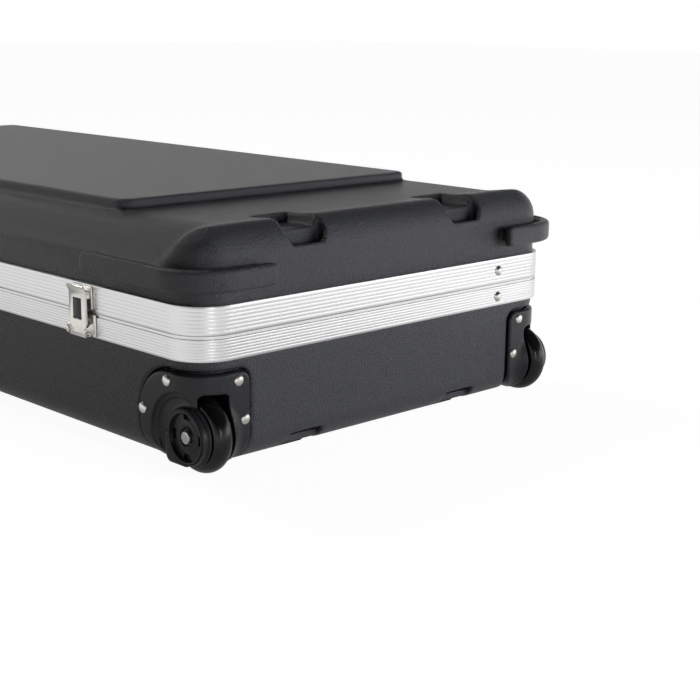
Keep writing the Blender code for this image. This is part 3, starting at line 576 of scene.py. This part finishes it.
def net_object(name, field, axes, material, keep=1.0):
    """A smooth-shaded mesh of a field's surface, thinned where it is flat."""
    cells, points, inside = net_points(field, axes)
    quads = net_quads(cells, inside)
    mesh = bpy.data.meshes.new(name)
    mesh.from_pydata(points.tolist(), [], quads.tolist())
    mesh.materials.append(material)
    mesh.shade_smooth()
    obj = bpy.data.objects.new(name, mesh)
    bpy.context.scene.collection.objects.link(obj)
    if keep < 1:
        thin = obj.modifiers.new("thin", "DECIMATE")
        thin.ratio = keep
        graph = bpy.context.evaluated_depsgraph_get()
        obj.data = bpy.data.meshes.new_from_object(obj.evaluated_get(graph))
        obj.modifiers.clear()
    return obj


def graded_axis(*stretches):
    """Grid lines from stretches of (start, end, step), each meeting the next."""
    lines = []
    for start, end, step in stretches:
        count = max(1, round((end - start) / step))
        lines.extend(start + (end - start) * i / count for i in range(count))
    lines.append(stretches[-1][1])
    return np.array(lines)


def mirrored_axis(half):
    return np.concatenate((-half[:0:-1], half))


def mirrored_field(quarter):
    """The field of the whole shell from that of the quarter where x and y are positive."""
    half = np.concatenate((quarter[:0:-1], quarter), 0)
    return np.concatenate((half[:, :0:-1], half), 1)


# %% [markdown]
# ## The lid
# The lid is a tray with a rolled edge and ball-like corners. Two-step notches cut its end edges, a long slope
# runs down to each side, a flat panel stands on top, and a grooved bumper goes round each corner.

# %% Lid
WALL_INSET = 0.004
WALL_X = HALF_X - WALL_INSET
WALL_Y = HALF_Y - WALL_INSET
WALL_CORNER = BAND_CORNER - WALL_INSET
SHELL_THICKNESS = 0.004
LID_RIM = 0.1296
LID_ROLL = 0.0275
LID_TOP = 0.210
PANEL_HALF = (0.397, 0.185)
PANEL_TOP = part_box("lid_shell")[1].z
NOTCH_MIDDLE = 0.1027
NOTCH_HALF = 0.0233
NOTCH_STEP = 0.1993
SLOPE_END = 0.5072
SLOPE_LEAN = 0.556
SLOPE_Y = (0.000, 0.1790, 0.1870, 0.1950, 0.2030, 0.2100, 0.2166, 0.2205, 0.2245, 0.2600)
SLOPE_Z = (0.2120, 0.2120, 0.2088, 0.2040, 0.1972, 0.1898, 0.1820, 0.1786, 0.1775, 0.1765)
BUMPER_Z = (0.159, 0.1785)
BUMPER_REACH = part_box("lid_shell")[1].x - WALL_X
BUMPER_START = (0.410, 0.1505)
BUMPER_GROOVE = 0.004


def notch_field(x, y, z, back, floor):
    """A box cut down to a floor, from this far in to the end of the lid."""
    rise = np.clip(z - floor, 0, LID_TOP - NOTCH_STEP)
    side = np.abs(y - NOTCH_MIDDLE) - NOTCH_HALF + 0.45 * (LID_TOP - NOTCH_STEP - rise)
    return round_cut(round_cut(back - x, side, 0.003), floor - z, 0.003)


def bumper_field(x, y, z, wall):
    """A proud pad round the corner, with a groove all round its root."""
    low, high = BUMPER_Z
    start_x, start_y = BUMPER_START
    root = BUMPER_GROOVE * np.clip((0.0085 - wall) / 0.0025, 0, 1)
    height = round_cut(z - high, low - z, 0.002)
    ends = round_cut(start_x - x, start_y - y, 0.003)
    outline = round_cut(height, ends, 0.005) + root
    return round_cut(wall - BUMPER_REACH, outline, 0.0045)


def lid_field(x, y, z):
    wall = plan_field(x, y, WALL_X, WALL_Y, WALL_CORNER)
    body = rounded_top(wall, LID_TOP - z, LID_ROLL)
    slope = (np.interp(y, SLOPE_Y, SLOPE_Z) - z) * 0.8
    slope_end = (x - SLOPE_END - (z - BUMPER_Z[1]) * SLOPE_LEAN) * 0.87
    body = round_cut(body, -round_cut(slope, slope_end, 0.016), 0.012)
    for back, floor in ((0.5408, 0.1873), (0.5014, NOTCH_STEP)):
        body = round_cut(body, -notch_field(x, y, z, back, floor), 0.0022)
    groove = round_cut(notch_field(x, y, z, 0.5412, 0.1765), x - 0.5500, 0.002)
    body = round_cut(body, -groove, 0.0015)
    panel = rounded_top(plan_field(x, y, *PANEL_HALF, 0.012), PANEL_TOP - z, 0.003)
    body = round_join(body, np.maximum(panel, LID_TOP - 0.02 - z), 0.003)
    hollow = body + SHELL_THICKNESS
    body = round_join(body, bumper_field(x, y, z, wall), 0.001)
    return np.maximum(np.maximum(body, -hollow), LID_RIM - z)


def build_lid():
    along = graded_axis((0, 0.372, 0.012), (0.372, 0.500, 0.003), (0.500, 0.5765, 0.0012))
    across = graded_axis((0, 0.072, 0.008), (0.072, 0.134, 0.0014), (0.134, 0.172, 0.0025), (0.172, 0.2475, 0.0014))
    up = graded_axis((0.1264, 0.1540, 0.0023), (0.1540, 0.2200, 0.0013))
    quarter = lid_field(along[:, None, None], across[None, :, None], up[None, None, :])
    axes = (mirrored_axis(along), mirrored_axis(across), up)
    lid = net_object("lid_moulding", mirrored_field(quarter), axes, FINISHES["shell"], keep=0.40)
    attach(lid, "lid")
    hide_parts("lid_shell")
    print(f"lid_moulding: {len(lid.data.polygons)} faces")


build_lid()

# %% [markdown]
# ## The base
# The base is the same kind of moulding, turned over. Its corners at the wheel end sink in behind the wheel
# housings, which leaves a dark rounded trench round each one, and its ends have tapered notches at the foot.

# %% Base
BASE_BOTTOM = 0.004
BASE_ROLL = 0.027
BASE_RIM = 0.1179
HOUSING_TOP = 0.088
HOUSING_LOW = 0.004
HOUSING_END = 0.1716
HOUSING_BACK = 0.477
HOUSING_PROUD = 0.002
HOUSING_PLATE = 0.005
TRENCH_WIDTH = 0.0014
TRENCH_DEPTH = 0.0065
WELL_BACK = 0.4980
WELL_SIDES = (0.1948, 0.2190)
WELL_TOP = 0.0703
WELL_WALL = 0.0034
FOOT_NOTCH = (0.0225, 0.0200)
FOOT_NOTCH_X = (0.505, 0.5425, 0.5440, 0.5700)
FOOT_NOTCH_Z = (0.003, 0.0078, 0.0194, 0.0202)


def base_outside(x, s, z, grow):
    """The base's outer form; s is the distance from the middle plane, so both sides share it."""
    wall = plan_field(x, s, WALL_X + grow, WALL_Y + grow, WALL_CORNER + grow)
    return rounded_top(wall, z - BASE_BOTTOM + grow, BASE_ROLL + grow)


def corner_field(first, second, radius):
    """Two half planes that meet in a corner of this radius."""
    first = first + radius
    second = second + radius
    return np.hypot(np.maximum(first, 0), np.maximum(second, 0)) + np.minimum(np.maximum(first, second), 0) - radius


def tab_field(along, z, start, high_corner, low_corner, grow):
    """An elevation that begins at start, with its own corner radius above and below."""
    before = start - grow - along
    high = corner_field(before, z - HOUSING_TOP - grow, high_corner + grow)
    low = corner_field(before, HOUSING_LOW - grow - z, low_corner + grow)
    return np.maximum(high, low)


def housing_region(x, s, z, grow):
    from_end = tab_field(s, z, HOUSING_END, 0.010, 0.027, grow)
    from_side = tab_field(x, z, HOUSING_BACK, 0.040, 0.038, grow)
    return np.maximum(from_end, from_side)


def foot_notch_field(x, s, z):
    low, high = FOOT_NOTCH
    half = low + (high - low) * np.clip((z - 0.004) / 0.0145, 0, 1)
    side = (np.abs(s - NOTCH_MIDDLE) - half) * 0.93
    roof = (z - np.interp(x, FOOT_NOTCH_X, FOOT_NOTCH_Z)) * 0.6
    return round_cut(side, roof, 0.002)


def base_field(x, s, z):
    body = base_outside(x, s, z, 0)
    body = round_cut(body, -foot_notch_field(x, s, z), 0.0016)
    trench = np.maximum(housing_region(x, s, z, TRENCH_WIDTH), -base_outside(x, s, z, -TRENCH_DEPTH))
    body = round_cut(body, -trench, 0.005)
    hollow = body + SHELL_THICKNESS
    shell = np.maximum(np.maximum(body, -hollow), z - BASE_RIM)
    well = np.maximum(WELL_BACK - 0.001 - x, WELL_SIDES[0] - WELL_WALL - 0.001 - s)
    return np.maximum(shell, -np.maximum(well, z - WELL_TOP - WELL_WALL - 0.001))


def build_base():
    along = graded_axis((0, 0.456, 0.012), (0.456, 0.500, 0.0022), (0.500, 0.5605, 0.0014))
    across = graded_axis((0, 0.068, 0.008), (0.068, 0.140, 0.0018), (0.140, 0.162, 0.004), (0.162, 0.2315, 0.0015))
    up = graded_axis((0.0000, 0.0300, 0.0012), (0.0300, 0.0960, 0.0018), (0.0960, 0.1220, 0.0026))
    x, s, z = along[:, None, None], across[None, :, None], up[None, None, :]
    wheel_end = base_field(x, s, z)
    body = round_cut(base_outside(x, s, z, 0), -foot_notch_field(x, s, z), 0.0016)
    far_end = np.maximum(np.maximum(body, -body - SHELL_THICKNESS), z - BASE_RIM)
    half = np.concatenate((far_end[:0:-1], wheel_end), 0)
    whole = np.concatenate((half[:, :0:-1], half), 1)
    axes = (mirrored_axis(along), mirrored_axis(across), up)
    base = net_object("base_moulding", whole, axes, FINISHES["shell"], keep=0.4)
    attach(base, "root")
    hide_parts("base_shell")
    print(f"base_moulding: {len(base.data.polygons)} faces")


build_base()

# %% [markdown]
# ## Wheel housings
# Each housing is one moulding that caps a lower corner: a plate that stands a little proud of the shell, a
# round dish on the long side with the wheel's outer arm in it, a slot that the wheel stands in, and an inner
# arm that swells out of the end of the plate.

# %% Wheel housings
WHEEL_LOW, WHEEL_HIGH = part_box("wheel_tyre_front")
AXLE_X = (WHEEL_LOW.x + WHEEL_HIGH.x) / 2
AXLE_Z = (WHEEL_LOW.z + WHEEL_HIGH.z) / 2
DISH_CENTRE = (0.5305, 0.0345)
DISH_RADII = (0.0365, 0.0322)
DISH_LEDGE = (0.2268, 0.2252)
DISH_FLOOR = 0.2234
ARM_RADIUS = 0.0248
ARM_FACE = 0.2276
HEEL_START = 0.0269
HEEL_END = 0.0051
HEEL_LOW = 0.0078
FLANGE_RADIUS = 0.0271
FLANGE_FACE = 0.2216
INNER_RADIUS = 0.0281
FACE_BORE = 0.0232
BORE_FLOOR = 0.2210
WINDOW_CORNER = 0.0045
WALL_BEHIND = 0.2195


def plate_field(x, s, z, from_axle):
    """The corner plate with the swelling of its inner arm, and the walls of the wheel's well behind it."""
    outside = base_outside(x, s, z, HOUSING_PROUD)
    inside = base_outside(x, s, z, HOUSING_PROUD - HOUSING_PLATE)
    solid = round_cut(outside, housing_region(x, s, z, 0), 0.003)
    swelling = np.maximum(from_axle - INNER_RADIUS + 0.9 * (WELL_SIDES[0] - s), s - WELL_SIDES[0])
    solid = round_join(solid, swelling, 0.008)
    block = np.maximum(WELL_BACK - x, WELL_SIDES[0] - WELL_WALL - s)
    block = np.maximum(block, z - WELL_TOP - WELL_WALL)
    from_dish = np.hypot(x - DISH_CENTRE[0], z - DISH_CENTRE[1])
    pan = np.maximum(from_dish - DISH_RADII[0] - WELL_WALL, WALL_BEHIND - s)
    backing = np.minimum(np.minimum(-inside, block), pan)
    return np.maximum(solid, backing), from_dish


def cut_dish(body, s, from_dish):
    """Two steps down: a wall to a sloping ledge, then a second wall to the floor."""
    outer, inner = DISH_RADII
    high, low = DISH_LEDGE
    ledge = low + (high - low) * np.clip((from_dish - inner) / (outer - inner), 0, 1)
    body = round_cut(body, -round_cut(from_dish - outer, ledge - s, 0.0012), 0.0014)
    return round_cut(body, -round_cut(from_dish - inner, DISH_FLOOR - s, 0.0016), 0.0014)


def housing_field(x, s, z):
    from_axle = np.hypot(x - AXLE_X, z - AXLE_Z)
    body, from_dish = plate_field(x, s, z, from_axle)
    body = cut_dish(body, s, from_dish)
    heel = corner_field(AXLE_X - HEEL_START - x, HEEL_LOW - z, 0.007)
    heel = np.maximum(corner_field(x - AXLE_X - HEEL_END, HEEL_LOW - z, 0.006), np.maximum(heel, z - AXLE_Z))
    disc = round_cut(np.minimum(from_axle - ARM_RADIUS, heel), s - ARM_FACE, 0.0022)
    body = round_join(body, np.maximum(disc, WELL_SIDES[1] - s), 0.0045)
    flange = round_cut(from_axle - FLANGE_RADIUS, s - FLANGE_FACE, 0.0012)
    body = np.minimum(body, np.maximum(flange, WELL_SIDES[1] - s))
    middle = (WELL_SIDES[0] + WELL_SIDES[1]) / 2
    half = (WELL_SIDES[1] - WELL_SIDES[0]) / 2
    window = corner_field(np.abs(s - middle) - half, z - WELL_TOP, WINDOW_CORNER)
    body = round_cut(body, -np.maximum(window, WELL_BACK + WELL_WALL - x), 0.0016)
    bore = np.maximum(from_axle - FACE_BORE, BORE_FLOOR - s)
    return np.maximum(body, -bore)


def build_housings():
    along = graded_axis((0.4740, 0.5700, 0.0008))
    across = graded_axis((0.1680, 0.2325, 0.0008))
    up = graded_axis((-0.0010, 0.0910, 0.0008))
    field = housing_field(along[:, None, None], across[None, :, None], up[None, None, :])
    mirrored = (along, -across[::-1], up)
    sides = {"front": (field[:, ::-1], mirrored), "rear": (field, (along, across, up))}
    for side, (values, axes) in sides.items():
        housing = net_object(f"housing_{side}", values, axes, FINISHES["housing"], keep=0.5)
        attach(housing, "root")
        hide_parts(f"wheel_housing_{side}")
        print(f"housing_{side}: {len(housing.data.polygons)} faces")


build_housings()

# %% [markdown]
# ## Arm faces
# The face of the outer arm was turned in the mould tool: a round groove with four slots through its floor, a
# flat ring, and a dished seat for the head of the axle. A turned profile gives every one of those circles.

# %% Arm faces
FACE_STEPS = 96
SLOT_STEPS = 8
SLOT_DEPTH = 0.0022
GROOVE_FLOOR = 0.2246
GROOVE_INNER = 0.0155
FACE_PROFILE = (
    (0.0226, 0.2212), (0.0231, 0.2216), (0.0231, 0.2275), (0.0228, 0.2277), (0.0218, 0.2277), (0.0214, 0.2275),
    (0.0212, 0.2270), (0.0211, 0.2250), (0.0208, 0.2246), (0.0152, 0.2246), (0.0148, 0.2247), (0.0144, 0.2250),
    (0.0141, 0.2251), (0.0098, 0.2251), (0.0096, 0.2253), (0.0094, 0.2257), (0.0090, 0.2259), (0.0086, 0.2258),
    (0.0082, 0.2254), (0.0076, 0.2240), (0.0070, 0.2235), (0.0060, 0.2233), (0.0030, 0.2233),
)
AXLE_PROFILE = (
    (0.0030, 0.2236), (0.0050, 0.2236), (0.0054, 0.2239), (0.0054, 0.2262), (0.0052, 0.2266), (0.0046, 0.2269),
    (0.0030, 0.2270), (0.0008, 0.2270),
)


def turned(name, side, profile, material, steps=FACE_STEPS):
    """A closed turned piece on the wheel's axis, from (radius, distance from the middle plane) stations."""
    rings = turned_rings((AXLE_X, 0, AXLE_Z), (0, side, 0), profile, steps)
    return loft(name, rings, material, sharp=50)


def cut_slots(obj):
    """Sinks the groove's floor at four places round the face."""
    bm = bmesh.new()
    bm.from_mesh(obj.data)
    bm.faces.ensure_lookup_table()
    chosen = []
    for face in bm.faces:
        centre = face.calc_center_median()
        x, z = centre.x - AXLE_X, centre.z - AXLE_Z
        if abs(abs(centre.y) - GROOVE_FLOOR) > 0.00005 or math.hypot(x, z) < GROOVE_INNER:
            continue
        turn = math.degrees(math.atan2(z, x)) % 90
        if min(turn, 90 - turn) < SLOT_STEPS / 2 * 360 / FACE_STEPS:
            chosen.append(face)
    out = bmesh.ops.extrude_face_region(bm, geom=chosen)
    sunk = [v for v in out["geom"] if isinstance(v, bmesh.types.BMVert)]
    side = 1 if sunk[0].co.y > 0 else -1
    bmesh.ops.translate(bm, verts=sunk, vec=(0, -side * SLOT_DEPTH, 0))
    bmesh.ops.delete(bm, geom=chosen, context="FACES_ONLY")
    bm.to_mesh(obj.data)
    bm.free()
    obj.data.set_sharp_from_angle(angle=math.radians(40))


def build_arm_faces():
    for side, sign in (("front", -1), ("rear", 1)):
        face = turned(f"arm_face_{side}", sign, FACE_PROFILE, FINISHES["housing"])
        cut_slots(face)
        head = turned(f"axle_head_{side}", sign, AXLE_PROFILE, FINISHES["steel"], 48)
        for piece, slot in ((face, "housing"), (head, "steel")):
            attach(piece, "root")


build_arm_faces()

# %% [markdown]
# ## Rivets
# Every rivet of the housings is the same domed head on a thin rim, so one Geometry Nodes tree makes them all. It puts a
# head on each point of a small mesh and turns it to that point's own facing, which the mesh carries as an
# attribute.

# %% Rivets
RIVET_RADIUS = 0.005
RIVET_HEIGHT = 0.0024


def rivet_tree():
    tree = bpy.data.node_groups.new("rivet_heads", "GeometryNodeTree")
    side = tree.interface.new_socket
    side("Points", in_out="INPUT", socket_type="NodeSocketGeometry")
    side("Head Radius", in_out="INPUT", socket_type="NodeSocketFloat")
    side("Head Height", in_out="INPUT", socket_type="NodeSocketFloat")
    side("Finish", in_out="INPUT", socket_type="NodeSocketMaterial")
    side("Rivets", in_out="OUTPUT", socket_type="NodeSocketGeometry")
    link = tree.links.new
    given = add_node(tree, "NodeGroupInput")
    ball = add_node(tree, "GeometryNodeMeshUVSphere", {"Segments": 32, "Rings": 16, "Radius": 1.0})
    position = add_node(tree, "GeometryNodeInputPosition")
    split = add_node(tree, "ShaderNodeSeparateXYZ")
    link(position.outputs["Position"], split.inputs["Vector"])
    level = add_node(tree, "ShaderNodeMath", {1: -0.12}, operation="MAXIMUM")
    link(split.outputs["Z"], level.inputs[0])
    flat = add_node(tree, "ShaderNodeCombineXYZ")
    link(split.outputs["X"], flat.inputs["X"])
    link(split.outputs["Y"], flat.inputs["Y"])
    link(level.outputs["Value"], flat.inputs["Z"])
    dome = add_node(tree, "GeometryNodeSetPosition")
    link(ball.outputs["Mesh"], dome.inputs["Geometry"])
    link(flat.outputs["Vector"], dome.inputs["Position"])
    size = add_node(tree, "ShaderNodeCombineXYZ")
    link(given.outputs["Head Radius"], size.inputs["X"])
    link(given.outputs["Head Radius"], size.inputs["Y"])
    link(given.outputs["Head Height"], size.inputs["Z"])
    facing = add_node(tree, "GeometryNodeInputNamedAttribute", {"Name": "facing"}, data_type="FLOAT_VECTOR")
    turn = add_node(tree, "FunctionNodeAlignRotationToVector", axis="Z")
    link(facing.outputs["Attribute"], turn.inputs["Vector"])
    place = add_node(tree, "GeometryNodeInstanceOnPoints")
    link(given.outputs["Points"], place.inputs["Points"])
    link(dome.outputs["Geometry"], place.inputs["Instance"])
    link(turn.outputs["Rotation"], place.inputs["Rotation"])
    link(size.outputs["Vector"], place.inputs["Scale"])
    real = add_node(tree, "GeometryNodeRealizeInstances")
    link(place.outputs["Instances"], real.inputs["Geometry"])
    finish = add_node(tree, "GeometryNodeSetMaterial")
    link(real.outputs["Geometry"], finish.inputs["Geometry"])
    link(given.outputs["Finish"], finish.inputs["Material"])
    result = add_node(tree, "NodeGroupOutput")
    link(finish.outputs["Geometry"], result.inputs["Rivets"])
    return tree


def grown_mesh(name, tree, source, values):
    """Runs a node tree on a mesh and keeps the result as a plain mesh object."""
    obj = bpy.data.objects.new(name, source)
    bpy.context.scene.collection.objects.link(obj)
    modifier = obj.modifiers.new(name, "NODES")
    modifier.node_group = tree
    for item in tree.interface.items_tree:
        if item.item_type == "SOCKET" and item.in_out == "INPUT" and item.name in values:
            modifier[item.identifier] = values[item.name]
    obj.update_tag()
    graph = bpy.context.evaluated_depsgraph_get()
    mesh = bpy.data.meshes.new_from_object(obj.evaluated_get(graph))
    obj.modifiers.clear()
    obj.data = mesh
    mesh.shade_smooth()
    mesh.set_sharp_from_angle(angle=math.radians(50))
    return obj


def facing_points(name, rows):
    mesh = bpy.data.meshes.new(name)
    mesh.from_pydata([place for place, _ in rows], [], [])
    facing = mesh.attributes.new("facing", "FLOAT_VECTOR", "POINT")
    for item, (_, way) in zip(facing.data, rows):
        item.vector = way
    return mesh


RIVET_TREE = rivet_tree()


def build_rivets(name, rows, body, nodes):
    values = {"Head Radius": RIVET_RADIUS, "Head Height": RIVET_HEIGHT, "Finish": FINISHES["nickel"]}
    rivets = grown_mesh(name, RIVET_TREE, facing_points(f"{name}_points", rows), values)
    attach(rivets, body)
    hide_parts(*nodes)
    print(f"{name}: {len(rows)} heads, {len(rivets.data.polygons)} faces")


def housing_rivet_rows(sign):
    face_x = WALL_X + HOUSING_PROUD
    face_y = sign * (WALL_Y + HOUSING_PROUD)
    return [
        ((face_x, sign * 0.1847, 0.0804), (1, 0, 0)),
        ((face_x, sign * 0.1780, 0.0455), (1, 0, 0)),
        ((0.5162, face_y, 0.0799), (0, sign, 0)),
        ((0.4820, face_y, 0.0492), (0, sign, 0)),
    ]


for side, sign in (("front", -1), ("rear", 1)):
    build_rivets(f"housing_rivet_heads_{side}", housing_rivet_rows(sign), "root", [f"wheel_rivets_{side}"])

# %% [markdown]
# ## Foam
# The tray, its two loose blocks and the lid's pad are open-cell foam. The tray and the blocks are hot-wire
# cut, so they keep the CAD solid's shape with softly rounded edges. The pad is cut between profiled rollers,
# which leaves a crate of even bumps that presses on the keys only at its peaks.


# %% Foam
FOAM_EDGE = 0.0035
FOAM_BODIES = {
    "base_foam_tray": "root",
    "foam_block_left": "root",
    "foam_block_right": "root",
}
PAD_LOW, PAD_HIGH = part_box("lid_foam_pad")
PAD_CORNER = 0.02
PAD_PITCH = 0.038
PAD_DEPTH = 0.010
PAD_BORDER = 0.008


def build_foam(node, body):
    source = bpy.data.objects[node]
    foam = bpy.data.objects.new(f"{node}_soft", source.data.copy())
    foam.matrix_world = source.matrix_world
    bpy.context.scene.collection.objects.link(foam)
    foam.data.materials.clear()
    foam.data.materials.append(FINISHES["foam"])
    round_edges = foam.modifiers.new("soft edges", "BEVEL")
    round_edges.width = FOAM_EDGE
    round_edges.segments = 3
    round_edges.angle_limit = math.radians(50)
    bpy.context.view_layer.update()
    graph = bpy.context.evaluated_depsgraph_get()
    mesh = bpy.data.meshes.new_from_object(foam.evaluated_get(graph))
    mesh.transform(foam.matrix_world)
    foam.modifiers.clear()
    foam.data = mesh
    foam.matrix_world = Matrix.Identity(4)
    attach(foam, body)
    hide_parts(node)
    print(f"{node}_soft: {len(mesh.polygons)} faces")


def pad_field(x, y, z):
    """A slab whose lower face carries rows of bumps, flat along its border."""
    plan = plan_field(x, y, PAD_HIGH.x, PAD_HIGH.y, PAD_CORNER)
    wave = np.cos(2 * math.pi * x / PAD_PITCH) + np.cos(2 * math.pi * y / PAD_PITCH)
    inner = np.clip((-plan - PAD_BORDER) / 0.012, 0, 1)
    face = PAD_LOW.z + PAD_DEPTH * inner * (0.5 - 0.25 * wave)
    slab = np.maximum((face - z) * 0.8, z - PAD_HIGH.z)
    return round_cut(plan, slab, 0.006)


def build_lid_pad():
    along = graded_axis((0, PAD_HIGH.x + 0.004, 0.0031))
    across = graded_axis((0, PAD_HIGH.y + 0.004, 0.0031))
    up = graded_axis((PAD_LOW.z - 0.003, PAD_HIGH.z + 0.003, 0.0018))
    quarter = pad_field(along[:, None, None], across[None, :, None], up[None, None, :])
    axes = (mirrored_axis(along), mirrored_axis(across), up)
    pad = net_object("lid_foam_pad_soft", mirrored_field(quarter), axes, FINISHES["foam"], keep=0.5)
    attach(pad, "lid")
    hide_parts("lid_foam_pad")
    print(f"lid_foam_pad_soft: {len(pad.data.polygons)} faces")


for node, body in FOAM_BODIES.items():
    build_foam(node, body)
build_lid_pad()

# %% [markdown]
# ## Wheels
# The tyre is a turned section with a full round tread, and the hub has a thin web with ribs on both sides.

# %% Wheels
TYRE_WIDTH = WHEEL_HIGH.y - WHEEL_LOW.y
TYRE_SEAT = 0.0213
HUB_BORE = 0.0039


def tyre_section(radius):
    """A tread that is a half ellipse across, from one bead to the other."""
    half = TYRE_WIDTH / 2
    crown = 0.0085
    section = [(TYRE_SEAT, -half + 0.002), (TYRE_SEAT + 0.002, -half + 0.0006)]
    section.append((radius - crown - 0.002, -half + 0.0002))
    for step in range(17):
        angle = math.pi * step / 16
        section.append((radius - crown + crown * math.sin(angle), -half * math.cos(angle)))
    section += [(radius - crown - 0.002, half - 0.0002), (TYRE_SEAT + 0.002, half - 0.0006)]
    section.append((TYRE_SEAT, half - 0.002))
    return section


def build_tyre(name):
    low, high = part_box(f"wheel_tyre_{name}")
    centre = (low + high) / 2
    radius = (high.z - low.z) / 2
    rings = turned_rings(centre, (0, 1, 0), tyre_section(radius), 96)
    tyre = loft(f"tyre_{name}", rings, FINISHES["tyre"], closed=True, sharp=50)
    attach(tyre, f"wheel_{name}")
    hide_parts(f"wheel_tyre_{name}")


for wheel in ("front", "rear"):
    build_tyre(wheel)

# %% [markdown]
# ## Pressed and moulded fittings
# Latches, leaves and links are pressed from sheet steel, and handles, hubs and feet are moulded. Neither
# process leaves a knife edge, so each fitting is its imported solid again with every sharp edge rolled: a few
# tenths of a millimetre on steel, more on plastic.


# %% Fittings
PRESSED_EDGE = 0.0003
MOULDED_EDGE = 0.0012
GRIP_EDGE = 0.0030
FLAT_ANGLE = 2
SHARP_ANGLE = 38


def rolled_copy(node, body, edge, segments=2):
    """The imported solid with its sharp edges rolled, in its own place and on its own body."""
    source = bpy.data.objects[node]
    bm = bmesh.new()
    bm.from_mesh(source.data)
    bm.transform(source.matrix_world)
    bmesh.ops.remove_doubles(bm, verts=bm.verts, dist=0.00001)
    bmesh.ops.dissolve_limit(bm, angle_limit=math.radians(FLAT_ANGLE), verts=bm.verts, edges=bm.edges)
    sharp = [e for e in bm.edges if len(e.link_faces) == 2 and e.calc_face_angle() > math.radians(SHARP_ANGLE)]
    bmesh.ops.bevel(
        bm, geom=sharp, offset=edge, segments=segments, profile=0.5, affect="EDGES", clamp_overlap=True
    )
    mesh = bpy.data.meshes.new(f"{node}_rolled")
    bm.to_mesh(mesh)
    bm.free()
    slot = SLOTS[node]
    mesh.materials.append(FINISHES[slot])
    mesh.shade_smooth()
    mesh.set_sharp_from_angle(angle=math.radians(SHARP_ANGLE))
    piece = bpy.data.objects.new(f"{node}_rolled", mesh)
    bpy.context.scene.collection.objects.link(piece)
    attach(piece, body)
    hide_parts(node)


def build_fittings():
    for number in (1, 2, 3, 4):
        rolled_copy(f"latch_body_{number}", "root", PRESSED_EDGE)
        rolled_copy(f"latch_strike_{number}", "lid", PRESSED_EDGE)
        rolled_copy(f"latch_lever_{number}", f"latch_{number}", PRESSED_EDGE)
        rolled_copy(f"latch_trigger_{number}", f"trigger_{number}", PRESSED_EDGE)
    for kind in ("carry", "pull"):
        rolled_copy(f"{kind}_handle_grip", f"{kind}_grip", GRIP_EDGE, 4)
        for bracket in "ab":
            rolled_copy(f"{kind}_handle_bracket_{bracket}", "root", 0.5 * MOULDED_EDGE, 3)
    for end in ("left", "wheel_end"):
        rolled_copy(f"stay_link_base_{end}", f"stay_base_{end}", PRESSED_EDGE)
        rolled_copy(f"stay_link_lid_{end}", f"stay_lid_{end}", PRESSED_EDGE)
        for side in ("front", "rear"):
            rolled_copy(f"foot_{end}_{side}", "root", MOULDED_EDGE, 3)
    for side in ("front", "rear"):
        rolled_copy(f"wheel_hub_{side}", f"wheel_{side}", 0.5 * MOULDED_EDGE)
    rolled_copy("hinge_leaf_base", "root", 0.5 * PRESSED_EDGE)
    rolled_copy("hinge_leaf_lid", "lid", 0.5 * PRESSED_EDGE)


build_fittings()

# %% [markdown]
# ## Rivets of the stays
# The two bright heads on each end of the band hold the stays' pins. A tubular rivet is turned: a thin rim, a
# dome, a shank through the band, and a flat tail that was pressed out behind the link.

# %% Stay rivets
STAY_HEAD = (
    (0.0006, 0.00240), (0.0016, 0.00228), (0.0026, 0.00198), (0.0034, 0.00152), (0.0040, 0.00098),
    (0.0043, 0.00052), (0.0049, 0.00040), (0.0050, 0.00025), (0.0050, 0.00010), (0.0024, 0.00010),
)
TAIL_RADIUS = 0.0042
TAIL_HEIGHT = 0.0012


def build_stay_rivet(node, body, end):
    low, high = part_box(node)
    centre = (end * HALF_X, (low.y + high.y) / 2, (low.z + high.z) / 2)
    tail = (HALF_X - low.x) if end > 0 else (HALF_X + high.x)
    profile = list(STAY_HEAD)
    profile += [(0.0024, TAIL_HEIGHT - tail), (TAIL_RADIUS, TAIL_HEIGHT - tail)]
    profile += [(TAIL_RADIUS, -tail), (0.0006, -tail)]
    rivet = loft(f"{node}_turned", turned_rings(centre, (end, 0, 0), profile, 32), FINISHES["nickel"], sharp=50)
    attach(rivet, body)
    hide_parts(node)


for end_name, end in (("left", -1), ("wheel_end", 1)):
    build_stay_rivet(f"stay_rivet_base_{end_name}", "root", end)
    build_stay_rivet(f"stay_rivet_lid_{end_name}", "lid", end)

# %% [markdown]
# ## Finish
# The shown pieces are printed by name.

# %% Finish
shown = sorted(piece.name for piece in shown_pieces())
print(f"{len(shown)} pieces: {', '.join(shown)}")
